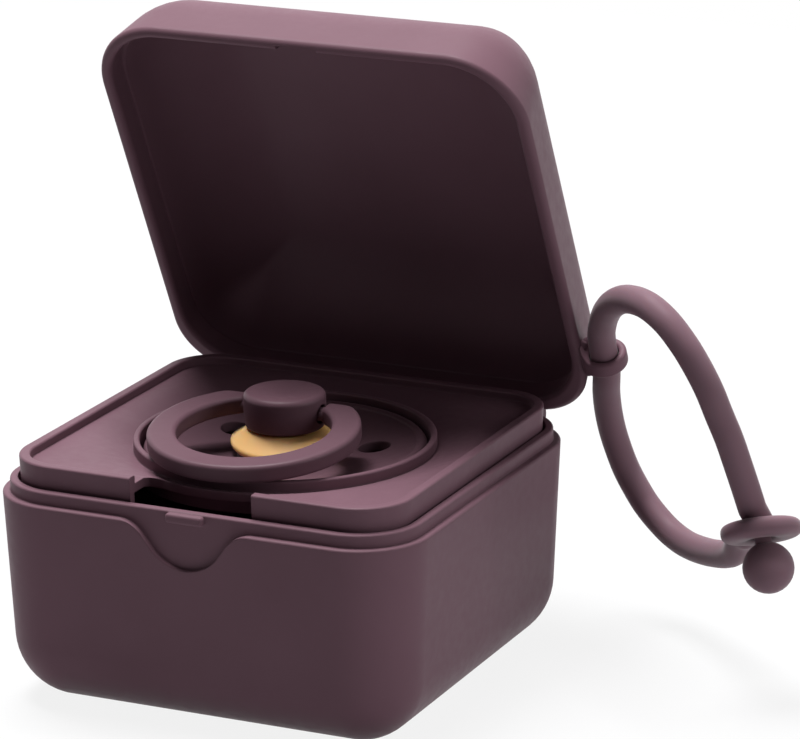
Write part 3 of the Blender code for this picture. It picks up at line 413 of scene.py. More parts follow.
def floor():
    """The plain floor under the case, which belongs to the stage."""
    body = bmesh.new()
    bmesh.ops.create_grid(body, x_segments=2, y_segments=2, size=FLOOR_SIZE / 2)
    mesh = bpy.data.meshes.new("floor")
    body.to_mesh(mesh)
    body.free()
    made = bpy.data.objects.new("floor", mesh)
    made.location.z = -FLOOR_DROP
    made.data.materials.append(floor_material())
    bpy.context.scene.collection.objects.link(made)


def moulded(name, colour, deep, roughness, gloss, grain_share=1.0):
    """A moulded surface: faint cloudy colour, fine grain, scuffs in the sheen and softened edges."""
    material = bpy.data.materials.new(name)
    material.use_nodes = True
    tree = material.node_tree
    link = tree.links.new
    shader = tree.nodes["Principled BSDF"]
    shader.inputs["Specular IOR Level"].default_value = gloss
    place = tree.nodes.new("ShaderNodeTexCoord").outputs["Object"]

    def noise(size, detail):
        """Noise fixed to the piece, with spots of about one size."""
        made = tree.nodes.new("ShaderNodeTexNoise")
        made.inputs["Scale"].default_value = 1.0 / size
        made.inputs["Detail"].default_value = detail
        link(place, made.inputs["Vector"])
        return made.outputs["Fac"]

    def spread(value, low, high):
        """The noise's middle range, stretched between two values."""
        made = tree.nodes.new("ShaderNodeMapRange")
        made.inputs["From Min"].default_value = NOISE_LOW
        made.inputs["From Max"].default_value = NOISE_HIGH
        made.inputs["To Min"].default_value = low
        made.inputs["To Max"].default_value = high
        link(value, made.inputs["Value"])
        return made.outputs["Result"]

    tint = tree.nodes.new("ShaderNodeMix")
    tint.data_type = "RGBA"
    tint.inputs["A"].default_value = deep
    tint.inputs["B"].default_value = colour
    cloud = noise(CLOUD_SIZE, CLOUD_DETAIL)
    link(spread(cloud, CLOUD_LEAST_SHARE, 1.0), tint.inputs["Factor"])
    link(tint.outputs["Result"], shader.inputs["Base Color"])
    scuffs = noise(SCUFF_SIZE, SCUFF_DETAIL)
    uneven = spread(scuffs, roughness - SCUFF_SPREAD, roughness + SCUFF_SPREAD)
    link(uneven, shader.inputs["Roughness"])
    soft = tree.nodes.new("ShaderNodeBevel")
    soft.samples = SOFTENING_SAMPLE_COUNT
    soft.inputs["Radius"].default_value = EDGE_SOFTENING
    bump = tree.nodes.new("ShaderNodeBump")
    bump.inputs["Strength"].default_value = GRAIN_STRENGTH * grain_share
    bump.inputs["Distance"].default_value = GRAIN_DEPTH
    link(noise(GRAIN_SIZE, GRAIN_DETAIL), bump.inputs["Height"])
    link(soft.outputs["Normal"], bump.inputs["Normal"])
    link(bump.outputs["Normal"], shader.inputs["Normal"])
    return material


def silicone_look():
    """The strap's dull, slightly see-through silicone."""
    material = moulded(
        "silicone_plum",
        SILICONE,
        SILICONE_DEEP,
        SILICONE_ROUGHNESS,
        SILICONE_GLOSS,
        SILICONE_GRAIN_SHARE,
    )
    shader = material.node_tree.nodes["Principled BSDF"]
    shader.inputs["Sheen Weight"].default_value = SILICONE_SHEEN
    shader.inputs["Sheen Roughness"].default_value = SILICONE_SHEEN_ROUGHNESS
    shader.inputs["Subsurface Weight"].default_value = SILICONE_SUBSURFACE
    shader.inputs["Subsurface Scale"].default_value = SILICONE_SUBSURFACE_DEPTH
    return material


def rubber_look():
    """The teat's amber rubber, which lets light into it."""
    material = moulded(
        "amber_latex",
        AMBER,
        AMBER_DEEP,
        RUBBER_ROUGHNESS,
        RUBBER_GLOSS,
        RUBBER_GRAIN_SHARE,
    )
    shader = material.node_tree.nodes["Principled BSDF"]
    shader.inputs["Subsurface Weight"].default_value = RUBBER_SUBSURFACE
    shader.inputs["Subsurface Radius"].default_value = RUBBER_SUBSURFACE_SHARES
    shader.inputs["Subsurface Scale"].default_value = RUBBER_SUBSURFACE_DEPTH
    return material


def steel_look():
    """The hinge pin's drawn steel."""
    material = moulded("drawn_steel", STEEL, STEEL_DEEP, STEEL_ROUGHNESS, STEEL_GLOSS, STEEL_GRAIN_SHARE)
    material.node_tree.nodes["Principled BSDF"].inputs["Metallic"].default_value = 1.0
    return material


def dress(piece, material, body, node, place=None):
    """Fixes a piece's cuts into it, puts it in its place, and lets it stand for its CAD node."""
    apply_modifiers(piece)
    if place is not None:
        piece.data.transform(place)
    piece.data.materials.clear()
    piece.data.materials.append(material)
    piece.data.shade_smooth()
    piece.data.set_sharp_from_angle(angle=SHARP_ANGLE)
    even = piece.modifiers.new("even_shading", "WEIGHTED_NORMAL")
    even.keep_sharp = True
    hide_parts(node)
    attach(piece, body)
    return piece


def object_from_bmesh(name, mesh_data, collection):
    """A new object from a bmesh, with its faces pointing out."""
    bmesh.ops.recalc_face_normals(mesh_data, faces=mesh_data.faces)
    mesh = bpy.data.meshes.new(name)
    mesh_data.to_mesh(mesh)
    mesh_data.free()
    made = bpy.data.objects.new(name, mesh)
    collection.objects.link(made)
    return made


def square_ring(
    inset,
    z,
    side=HALF_WIDTH,
    front=HALF_DEPTH,
    back=HALF_DEPTH,
    front_radius=CORNER_RADIUS,
    back_radius=CORNER_RADIUS,
):
    """Points round a rounded rectangle at one height, drawn in by inset: the case's outline by default."""
    points = []
    for quarter, (side_x, side_y) in enumerate(((1, 1), (-1, 1), (-1, -1), (1, -1))):
        radius, reach = (back_radius, back) if side_y > 0 else (front_radius, front)
        corner = max(radius - inset, LEAST_CORNER_RADIUS)
        centre_x = side - inset - corner
        centre_y = reach - inset - corner
        for step in range(CORNER_STEPS + 1):
            angle = math.radians(90 * (quarter + step / CORNER_STEPS))
            x = side_x * centre_x + corner * math.cos(angle)
            y = side_y * centre_y + corner * math.sin(angle)
            points.append(Vector((x, y, z)))
    return points


def circle_ring(radius, z):
    """As many points as a square_ring, evenly round a circle."""
    count = 4 * (CORNER_STEPS + 1)
    points = []
    for index in range(count):
        angle = 2 * math.pi * (index + 0.5) / count
        points.append(Vector((radius * math.cos(angle), radius * math.sin(angle), z)))
    return points


def ring_solid(name, rings, collection, closed=False):
    """A body through a series of rings: joined end to end, or else capped at both ends."""
    body = bmesh.new()
    rows = [[body.verts.new(point) for point in ring] for ring in rings]
    pairs = list(zip(rows, rows[1:]))
    if closed:
        pairs.append((rows[-1], rows[0]))
    for lower, upper in pairs:
        for index in range(len(lower)):
            after = (index + 1) % len(lower)
            body.faces.new((lower[index], lower[after], upper[after], upper[index]))
    if not closed:
        body.faces.new(rows[0])
        body.faces.new(rows[-1])
    return object_from_bmesh(name, body, collection)


def arc(centre, radius, start, end, steps):
    """Points (across, up) along an arc, with its angles in degrees."""
    points = []
    for step in range(steps + 1):
        angle = math.radians(start + (end - start) * step / steps)
        points.append((centre[0] + radius * math.cos(angle), centre[1] + radius * math.sin(angle)))
    return points


def turned(name, profile, collection, steps=TURN_STEPS, closed=True):
    """A profile of (radius, height) points, turned round Z by a Screw modifier."""
    mesh = bpy.data.meshes.new(name)
    points = [(radius, 0.0, height) for radius, height in profile]
    edges = [(index, index + 1) for index in range(len(points) - 1)]
    if closed:
        edges.append((len(points) - 1, 0))
    mesh.from_pydata(points, edges, [])
    made = bpy.data.objects.new(name, mesh)
    collection.objects.link(made)
    screw = made.modifiers.new("turn", "SCREW")
    screw.steps = steps
    screw.render_steps = steps
    screw.use_merge_vertices = True
    screw.merge_threshold = MERGE_DISTANCE
    screw.use_normal_calculate = True
    return made


def box(name, low, high, collection):
    """A box between two corners."""
    low = Vector(low)
    high = Vector(high)
    body = bmesh.new()
    bmesh.ops.create_cube(body, size=1.0)
    size = high - low
    bmesh.ops.scale(body, vec=size, verts=body.verts)
    bmesh.ops.translate(body, vec=(low + high) / 2, verts=body.verts)
    return object_from_bmesh(name, body, collection)


def rod(name, start, end, radius, collection, end_radius=None):
    """A cylinder or cone frustum between two points."""
    start = Vector(start)
    end = Vector(end)
    body = bmesh.new()
    bmesh.ops.create_cone(
        body,
        cap_ends=True,
        segments=SMALL_TURN_STEPS,
        radius1=radius,
        radius2=radius if end_radius is None else end_radius,
        depth=(end - start).length,
    )
    turn = (end - start).to_track_quat("Z", "Y").to_matrix().to_4x4()
    bmesh.ops.transform(body, matrix=Matrix.Translation((start + end) / 2) @ turn, verts=body.verts)
    return object_from_bmesh(name, body, collection)


def hinge_rod(name, start_x, end_x, radius, collection):
    """A rod along the hinge's axis."""
    return rod(name, (start_x, HINGE_Y, HINGE_Z), (end_x, HINGE_Y, HINGE_Z), radius, collection)


def extruded(name, outline, low, high, collection):
    """A flat outline of (x, y) points between two heights."""
    body = bmesh.new()
    lower = [body.verts.new((x, y, low)) for x, y in outline]
    upper = [body.verts.new((x, y, high)) for x, y in outline]
    body.faces.new(lower)
    body.faces.new(upper)
    for index in range(len(outline)):
        after = (index + 1) % len(outline)
        body.faces.new((lower[index], lower[after], upper[after], upper[index]))
    return object_from_bmesh(name, body, collection)


def apply_modifiers(target):
    """Fixes a helper's modifiers into its mesh."""
    bpy.context.view_layer.update()
    evaluated = target.evaluated_get(bpy.context.evaluated_depsgraph_get())
    mesh = bpy.data.meshes.new_from_object(evaluated)
    body = bmesh.new()
    body.from_mesh(mesh)
    bmesh.ops.recalc_face_normals(body, faces=body.faces)
    body.to_mesh(mesh)
    body.free()
    target.modifiers.clear()
    target.data = mesh
    return target


def boolean(target, tool, operation):
    """Joins, cuts or keeps the common part with another body, which stays hidden as a guide."""
    tool.hide_render = True
    tool.display_type = "WIRE"
    modifier = target.modifiers.new(tool.name, "BOOLEAN")
    modifier.operation = operation
    modifier.object = tool
    return modifier


def round_edges(target, width):
    """Rounds every edge of a helper."""
    bevel = target.modifiers.new("round", "BEVEL")
    bevel.width = width
    bevel.segments = SMALL_ARC_STEPS
    bevel.limit_method = "ANGLE"
    return apply_modifiers(target)


def base_inset(z):
    """How far the base's outer wall has drawn in at a height."""
    return BASE_DRAFT_SHARE * (LEDGE_HEIGHT - z)


def base_blank(parts):
    """The base's outside, solid, with the set-back rim on top."""
    rings = [square_ring(base_inset(0.0) + BASE_EDGE_RADIUS, 0.0)]
    for inset, z in arc((BASE_EDGE_RADIUS, BASE_EDGE_RADIUS), BASE_EDGE_RADIUS, 270, 180, ARC_STEPS)[1:]:
        rings.append(square_ring(base_inset(z) + inset, z))
    edge = LEDGE_ROUNDING
    for inset, z in arc((edge, LEDGE_HEIGHT - edge), edge, 180, 90, SMALL_ARC_STEPS):
        rings.append(square_ring(inset, z))
    rings.append(square_ring(RIM_SETBACK, LEDGE_HEIGHT))
    edge = RIM_SETBACK + RIM_ROUNDING
    for inset, z in arc((edge, RIM_TOP - RIM_ROUNDING), RIM_ROUNDING, 180, 90, SMALL_ARC_STEPS):
        rings.append(square_ring(inset, z))
    rings.append(square_ring(WALL_INSET, RIM_TOP))
    return ring_solid("base_moulding", rings, parts)


def base_cavity(guides):
    """The hollow of the base, less the ribs that carry the tray."""
    inner_radius = BASE_EDGE_RADIUS - BASE_FLOOR
    rings = []
    for inset, z in arc((inner_radius, BASE_FLOOR + inner_radius), inner_radius, 270, 180, ARC_STEPS):
        rings.append(square_ring(WALL_INSET + base_inset(z) + inset, z))
    rings.append(square_ring(WALL_INSET, LEDGE_HEIGHT))
    rings.append(square_ring(WALL_INSET, RIM_TOP + CUT_OVERRUN))
    cavity = ring_solid("base_cavity", rings, guides)
    inner_x = HALF_WIDTH - WALL_INSET - base_inset(RIB_TOP_HEIGHT)
    inner_y = HALF_DEPTH - WALL_INSET - base_inset(RIB_TOP_HEIGHT)
    half_rib = RIB_THICKNESS / 2
    low_z = BASE_FLOOR - JOIN_OVERLAP
    for side in (-1, 1):
        for end in (-1, 1):
            y = end * RIB_SPACING_Y / 2
            near_x = side * (inner_x - RIB_REACH)
            far_x = side * (HALF_WIDTH + CUT_OVERRUN)
            rib = box(
                f"rib_x_{side}_{end}",
                (min(near_x, far_x), y - half_rib, low_z),
                (max(near_x, far_x), y + half_rib, RIB_TOP_HEIGHT),
                guides,
            )
            boolean(cavity, rib, "DIFFERENCE")
            x = end * RIB_SPACING_X / 2
            near_y = side * (inner_y - RIB_REACH)
            far_y = side * (HALF_DEPTH + CUT_OVERRUN)
            rib = box(
                f"rib_y_{side}_{end}",
                (x - half_rib, min(near_y, far_y), low_z),
                (x + half_rib, max(near_y, far_y), RIB_TOP_HEIGHT),
                guides,
            )
            boolean(cavity, rib, "DIFFERENCE")
    return apply_modifiers(cavity)


def scoop_outline():
    """The thumb scoop seen from the front, as (x, z): shoulders, sloping sides and a round bottom."""
    half = SCOOP_WIDTH / 2
    bottom_z = LEDGE_HEIGHT - SCOOP_DEPTH + SCOOP_BOTTOM_RADIUS
    shoulder_z = LEDGE_HEIGHT - SCOOP_SHOULDER_RADIUS
    across = half
    drop = bottom_z - shoulder_z
    reach = math.hypot(across, drop)
    lean = math.asin((SCOOP_BOTTOM_RADIUS + SCOOP_SHOULDER_RADIUS) / reach)
    turn = math.degrees(lean + math.atan2(-drop, across))
    right = arc((half, shoulder_z), SCOOP_SHOULDER_RADIUS, 90, 90 + turn, ARC_STEPS)
    bottom = arc((0.0, bottom_z), SCOOP_BOTTOM_RADIUS, turn - 90, -90, ARC_STEPS)
    side = right + bottom
    mirrored = [(-x, z) for x, z in reversed(side[:-1])]
    top = LEDGE_HEIGHT + RIM_HEIGHT / 2
    return [(half, top)] + side + mirrored + [(-half, top)]


def base_scoop(guides):
    """What the thumb scoop takes off the front wall, back to the rim's face."""
    face = -(HALF_DEPTH - RIM_SETBACK)
    cutter = extruded("scoop", scoop_outline(), -HALF_DEPTH - CUT_OVERRUN, face, guides)
    upright = Matrix(((1, 0, 0, 0), (0, 0, 1, 0), (0, 1, 0, 0), (0, 0, 0, 1)))
    cutter.data.transform(upright)
    cutter.data.flip_normals()
    return cutter


def make_base(parts, guides, material):
    """The lower box, with its thumb scoop, latch nub, ribs and hinge knuckles."""
    base = base_blank(parts)
    boolean(base, base_cavity(guides), "DIFFERENCE")
    boolean(base, base_scoop(guides), "DIFFERENCE")
    face = -(HALF_DEPTH - RIM_SETBACK)
    nub_top = RIM_TOP - NUB_BELOW_RIM
    nub = box(
        "nub",
        (-NUB_WIDTH / 2, face - NUB_REACH, nub_top - NUB_HEIGHT),
        (NUB_WIDTH / 2, face + RIM_THICKNESS / 2, nub_top),
        guides,
    )
    round_edges(nub, NUB_HEIGHT / 3)
    boolean(base, nub, "UNION")
    for side in (-1, 1):
        near = side * (HINGE_LENGTH / 2 - BASE_KNUCKLE_LENGTH)
        far = side * HINGE_LENGTH / 2
        boolean(base, base_knuckle(min(near, far), max(near, far), guides), "UNION")
        inner = side * (HINGE_LENGTH / 2 - BASE_KNUCKLE_LENGTH - CUT_OVERRUN)
        closed_end = side * (HINGE_LENGTH / 2 - PIN_END_COVER)
        bore = hinge_rod(f"pin_bore_{side}", inner, closed_end, PIN_RADIUS + PIN_CLEARANCE, guides)
        boolean(base, bore, "DIFFERENCE")
    dress(base, material, "base", "base_shell")


def base_knuckle(low_x, high_x, guides):
    """A hinge barrel of the base and the bracket that carries it on the back wall."""
    barrel = hinge_rod(f"knuckle_{low_x > 0}", low_x, high_x, KNUCKLE_RADIUS, guides)
    slope = [
        (HALF_DEPTH - WALL_INSET + JOIN_OVERLAP, HINGE_Z - HINGE_WEB_DEPTH - KNUCKLE_RADIUS),
        (HINGE_Y, HINGE_Z - KNUCKLE_RADIUS),
        (HINGE_Y, HINGE_Z - HINGE_ABOVE_LEDGE - LEDGE_ROUNDING),
        (HALF_DEPTH - WALL_INSET + JOIN_OVERLAP, HINGE_Z - HINGE_ABOVE_LEDGE - LEDGE_ROUNDING),
    ]
    web = extruded(f"bracket_{low_x > 0}", slope, low_x, high_x, guides)
    sideways = Matrix(((0, 0, 1, 0), (1, 0, 0, 0), (0, 1, 0, 0), (0, 0, 0, 1)))
    web.data.transform(sideways)
    boolean(barrel, web, "UNION")
    return apply_modifiers(barrel)


def make_tray(parts, guides, material):
    """The lift-out tray: skirt, raised border, shallow dish, collar and the pacifier's shelf."""

    def square(inset, z):
        """The tray's outline, drawn in by inset."""
        return square_ring(TRAY_INSET + inset, z)

    def drawn(z):
        """How far the skirt has drawn in at a height."""
        return BASE_DRAFT_SHARE * (TRAY_TOP - z)

    edge = TRAY_ROUNDING
    rings = [square(drawn(TRAY_FOOT), TRAY_FOOT)]
    rings += [square(x, z) for x, z in arc((edge, TRAY_TOP - edge), edge, 180, 90, SMALL_ARC_STEPS)]
    inner = TRAY_BORDER_WIDTH - edge
    rings += [square(x, z) for x, z in arc((inner, TRAY_TOP - edge), edge, 90, 0, SMALL_ARC_STEPS)]
    rings.append(square(TRAY_BORDER_WIDTH, PLATE_TOP))
    rings.append(circle_ring(DISH_RADIUS, PLATE_TOP))
    dish_z = PLATE_TOP - DISH_DEPTH
    rings.append(circle_ring(COLLAR_RADIUS, dish_z))
    edge = COLLAR_WALL / 3
    outer = COLLAR_RADIUS - edge
    rings += [circle_ring(r, z) for r, z in arc((outer, COLLAR_TOP - edge), edge, 0, 90, SMALL_ARC_STEPS)]
    outer = COLLAR_BORE + edge
    rings += [circle_ring(r, z) for r, z in arc((outer, COLLAR_TOP - edge), edge, 90, 180, SMALL_ARC_STEPS)]
    rings.append(circle_ring(COLLAR_BORE, SHELF_TOP))
    rings.append(circle_ring(COLLAR_BORE - SHELF_WIDTH, SHELF_TOP))
    rings.append(circle_ring(COLLAR_BORE - SHELF_WIDTH, SHELF_TOP - TRAY_PLATE))
    under = COLLAR_BORE + TRAY_WALL
    rings.append(circle_ring(under, SHELF_TOP - TRAY_PLATE))
    rings.append(circle_ring(under, dish_z - TRAY_PLATE))
    rings.append(circle_ring(DISH_RADIUS, PLATE_TOP - TRAY_PLATE))
    rings.append(square(TRAY_WALL + drawn(PLATE_TOP), PLATE_TOP - TRAY_PLATE))
    rings.append(square(TRAY_WALL + drawn(TRAY_FOOT), TRAY_FOOT))
    tray = ring_solid("tray_moulding", rings, parts, closed=True)
    boolean(tray, tray_notch(guides), "DIFFERENCE")
    dress(tray, material, "tray", "steam_tray")


def tray_notch(guides):
    """The finger notch through the tray's front, with a back edge that follows the collar."""
    half = NOTCH_WIDTH / 2
    radius = COLLAR_RADIUS + NOTCH_MARGIN
    fillet = NOTCH_FILLET
    fillet_x = half - fillet
    fillet_y = -math.sqrt((radius + fillet) ** 2 - fillet_x**2)
    touch = math.degrees(math.atan2(fillet_y, fillet_x))
    corner = arc((fillet_x, fillet_y), fillet, 0, 180 + touch, SMALL_ARC_STEPS + 1)
    back = arc((0.0, 0.0), radius, touch, -90, ARC_STEPS)[1:]
    side = corner + back
    mirrored = [(-x, y) for x, y in reversed(side[:-1])]
    front = -HALF_DEPTH - CUT_OVERRUN
    outline = [(half, front)] + side + mirrored + [(-half, front)]
    return extruded("finger_notch", outline, TRAY_TOP - NOTCH_DEPTH, TRAY_TOP + CUT_OVERRUN, guides)


def lid_ring(inset, rise):
    """The lid's outline at a height above its rim, with the lid closed."""
    return square_ring(
        inset,
        LID_RIM_HEIGHT + rise,
        HALF_WIDTH + LID_OVERHANG,
        HALF_DEPTH + LID_FRONT_OVERHANG,
        HALF_DEPTH + LID_BACK_OVERHANG,
        LID_FRONT_CORNER_RADIUS,
        LID_BACK_CORNER_RADIUS,
    )


def lid_blank(parts):
    """The lid's outside, solid."""
    edge = LID_RIM_ROUNDING
    rings = [lid_ring(x, z) for x, z in arc((edge, edge), edge, 270, 180, SMALL_ARC_STEPS + 1)]
    crown = LID_EDGE_RADIUS
    for inset, rise in arc((crown, LID_HEIGHT - crown), crown, 180, 90, ARC_STEPS):
        rings.append(lid_ring(LID_DRAFT_SHARE * rise + inset, rise))
    return ring_solid("lid_moulding", rings, parts)


def lid_cavity(guides):
    """The hollow of the lid, wider near the rim where it goes over the base's rim."""
    lip = LID_LIP_ROUNDING
    rings = [square_ring(LID_BORE_INSET - lip, LID_RIM_HEIGHT - CUT_OVERRUN)]
    for inset, z in arc((LID_BORE_INSET - lip, LID_RIM_HEIGHT + lip), lip, -90, 0, SMALL_ARC_STEPS):
        rings.append(square_ring(inset, z))
    rings.append(square_ring(LID_BORE_INSET, LID_RIM_HEIGHT + REBATE_DEPTH))
    radius = LID_EDGE_RADIUS - LID_WALL
    ceiling = LID_HEIGHT - LID_WALL
    rings.append(lid_ring(LID_DRAFT_SHARE * REBATE_DEPTH + LID_WALL, REBATE_DEPTH))
    for inset, rise in arc((radius, ceiling - radius), radius, 180, 90, ARC_STEPS):
        rings.append(lid_ring(LID_DRAFT_SHARE * rise + LID_WALL + inset, rise))
    return ring_solid("lid_cavity", rings, guides)


def eyelet_centre():
    """The middle of the strap's eyelet, with the lid closed."""
    x = LID_HALF_WIDTH + EYELET_OUT
    return Vector((x, HINGE_Y - EYELET_FROM_HINGE, HINGE_Z + EYELET_ABOVE_HINGE))


def make_eyelet(guides):
    """A rounded ring on a flared web, its hole running from hinge to front."""
    outer = EYELET_BORE_RADIUS + EYELET_WALL
    half = EYELET_THICKNESS / 2
    edge = EYELET_ROUNDING
    section = arc((outer - edge, half - edge), edge, 90, 0, SMALL_ARC_STEPS)
    section += arc((outer - edge, edge - half), edge, 0, -90, SMALL_ARC_STEPS)
    section += arc((EYELET_BORE_RADIUS + edge, edge - half), edge, -90, -180, SMALL_ARC_STEPS)
    section += arc((EYELET_BORE_RADIUS + edge, half - edge), edge, 180, 90, SMALL_ARC_STEPS)
    ring = turned("eyelet", section, guides, SMALL_TURN_STEPS)
    apply_modifiers(ring)
    for vertex in ring.data.vertices:
        place = vertex.co
        inward = -place.x - EYELET_FLARE_START
        if inward > 0:
            out_share = min(1.0, (math.hypot(place.x, place.y) - EYELET_BORE_RADIUS) / EYELET_WALL)
            place.z *= 1 + EYELET_FLARE_SHARE * max(out_share, 0.0) * inward / EYELET_FLARE_LENGTH
    centre = eyelet_centre()
    ring.data.transform(Matrix.Translation(centre) @ Matrix.Rotation(math.pi / 2, 4, "X"))
    wall_x = LID_HALF_WIDTH - LID_WALL / 2
    web = rod(
        "eyelet_web",
        (wall_x, 0.0, 0.0),
        (centre.x - EYELET_BORE_RADIUS / 2, 0.0, 0.0),
        EYELET_WEB_LENGTH / 2,
        guides,
        end_radius=EYELET_THICKNESS / 2,
    )
    stretch = Matrix.Diagonal((1.0, 1.0, EYELET_WEB_HEIGHT / EYELET_WEB_LENGTH, 1.0))
    web_z = max(centre.z, LID_RIM_HEIGHT + EYELET_WEB_HEIGHT / 2)
    web.data.transform(Matrix.Translation((0.0, centre.y, web_z)) @ stretch)
    start = centre + Vector((0.0, EYELET_WEB_LENGTH, 0.0))
    end = centre - Vector((0.0, EYELET_WEB_LENGTH, 0.0))
    boolean(web, rod("cord_room", start, end, EYELET_BORE_RADIUS + CLEARANCE, guides), "DIFFERENCE")
    apply_modifiers(web)
    boolean(ring, web, "UNION")
    return apply_modifiers(ring)


def make_lid(parts, guides, material):
    """The lid, with its rebate, latch groove, hinge barrel and eyelet."""
    lid = lid_blank(parts)
    boolean(lid, lid_cavity(guides), "DIFFERENCE")
    boolean(lid, make_eyelet(guides), "UNION")
    half = HINGE_LENGTH / 2 - BASE_KNUCKLE_LENGTH - CLEARANCE
    boolean(lid, hinge_rod("lid_barrel", -half, half, KNUCKLE_RADIUS, guides), "UNION")
    for side in (-1, 1):
        near = side * (HINGE_LENGTH / 2 - BASE_KNUCKLE_LENGTH - CLEARANCE)
        far = side * (HINGE_LENGTH / 2 + CLEARANCE)
        room = hinge_rod(f"knuckle_room_{side}", near, far, KNUCKLE_RADIUS + CLEARANCE, guides)
        boolean(lid, room, "DIFFERENCE")
    reach = half + CUT_OVERRUN
    bore = hinge_rod("lid_pin_bore", -reach, reach, PIN_RADIUS + PIN_CLEARANCE, guides)
    boolean(lid, bore, "DIFFERENCE")
    groove_y = -(HALF_DEPTH - RIM_SETBACK + NUB_REACH + CLEARANCE)
    groove = box(
        "latch_groove",
        (-NUB_WIDTH / 2 - CLEARANCE, groove_y, LID_RIM_HEIGHT - CUT_OVERRUN),
        (NUB_WIDTH / 2 + CLEARANCE, -HALF_DEPTH + WALL_INSET + CUT_OVERRUN, RIM_TOP + CLEARANCE),
        guides,
    )
    boolean(lid, groove, "DIFFERENCE")
    dress(lid, material, "lid", "lid_shell", open_lid())


def shield_profile():
    """Half of the shield's section: a rolled band, a shallow bowl and the boss round the bore."""
    inner_band = SHIELD_RADIUS - SHIELD_BAND_WIDTH
    half_band = SHIELD_BAND_WIDTH / 2
    band_low = BAND_TOP - SHIELD_BAND_HEIGHT
    bowl_edge_z = BAND_TOP - SHIELD_BAND_WIDTH / 3
    bowl_low = BAND_TOP - SHIELD_BOWL_DEPTH
    foot_radius = SHIELD_BOSS_RADIUS + SHIELD_THICKNESS / 2
    middle = (SHIELD_RADIUS - half_band, BAND_TOP - half_band)
    points = [(SHIELD_RADIUS - half_band / 2, band_low)]
    points += arc(middle, half_band, 0, SHIELD_BAND_END_DEGREES, ARC_STEPS)
    bowl = []
    for step in range(ARC_STEPS + 1):
        share = step / ARC_STEPS
        radius = inner_band + (foot_radius - inner_band) * share
        bowl.append((radius, bowl_edge_z + (bowl_low - bowl_edge_z) * math.sin(share * math.pi / 2)))
    points += bowl[1:]
    points.append((SHIELD_BOSS_RADIUS, BOSS_TOP))
    points.append((SHIELD_BORE_RADIUS, BOSS_TOP))
    points.append((SHIELD_BORE_RADIUS, bowl_low - SHIELD_THICKNESS))
    for radius, z in reversed(bowl[1:]):
        points.append((radius, z - SHIELD_THICKNESS))
    points.append((inner_band, band_low))
    return points


def make_shield(parts, guides, material):
    """The round guard with its vent holes."""
    shield = turned("shield_moulding", shield_profile(), parts)
    for index in range(VENT_COUNT):
        angle = math.radians(VENT_FIRST_DEGREES + 360 * index / VENT_COUNT)
        x = VENT_CIRCLE_RADIUS * math.cos(angle)
        y = VENT_CIRCLE_RADIUS * math.sin(angle)
        low = BAND_TOP - SHIELD_BOWL_DEPTH - SHIELD_THICKNESS - CUT_OVERRUN
        vent = rod(f"vent_{index}", (x, y, low), (x, y, BAND_TOP + CUT_OVERRUN), VENT_RADIUS, guides)
        boolean(shield, vent, "DIFFERENCE")
    dress(shield, material, "pacifier", "pacifier_shield")


def make_teat(parts, material):
    """The rubber teat: a flange under the knob, a neck through the shield and a round bulb."""
    tip = FLANGE_BOTTOM - TEAT_LENGTH
    bulb_z = tip + TEAT_BULB_RADIUS
    neck_low = BAND_TOP - SHIELD_BOWL_DEPTH - SHIELD_THICKNESS * 2
    flange_top = FLANGE_BOTTOM + FLANGE_THICKNESS
    waist_z = neck_low + (bulb_z - neck_low) * TEAT_WAIST_SHARE
    hollow = TEAT_BULB_RADIUS - TEAT_WALL
    profile = arc((0.0, bulb_z), hollow, -90, TEAT_BULB_DEGREES, ARC_STEPS)
    profile.append((TEAT_WAIST_RADIUS - TEAT_WALL, waist_z))
    profile.append((TEAT_NECK_RADIUS - TEAT_WALL, neck_low))
    profile.append((TEAT_NECK_RADIUS - TEAT_WALL, flange_top))
    profile.append((KNOB_FOOT_RADIUS - KNOB_FOOT_ROUNDING, flange_top))
    edge = FLANGE_EDGE / 2
    middle = (FLANGE_RADIUS - edge, FLANGE_BOTTOM - FLANGE_DROOP + edge)
    profile += arc(middle, edge, *FLANGE_EDGE_DEGREES, SMALL_ARC_STEPS * 3)
    profile.append((SHIELD_BOSS_RADIUS + CLEARANCE / 2, FLANGE_BOTTOM))
    profile.append((TEAT_NECK_RADIUS, FLANGE_BOTTOM))
    profile.append((TEAT_NECK_RADIUS, neck_low))
    profile.append((TEAT_WAIST_RADIUS, waist_z))
    profile += arc((0.0, bulb_z), TEAT_BULB_RADIUS, TEAT_BULB_DEGREES, -90, ARC_STEPS)
    profile = [(max(radius, 0.0), z) for radius, z in profile]
    teat = turned("teat_moulding", profile, parts, SMALL_TURN_STEPS + SMALL_TURN_STEPS // 2, False)
    apply_modifiers(teat)
    for vertex in teat.data.vertices:
        place = vertex.co
        radius = math.hypot(place.x, place.y)
        share = (radius - KNOB_FOOT_RADIUS) / (FLANGE_RADIUS - KNOB_FOOT_RADIUS)
        if share > 0 and place.z > neck_low:
            place.z += FLANGE_SADDLE * share * (place.x**2 - place.y**2) / radius**2
    dress(teat, material, "pacifier", "pacifier_teat")


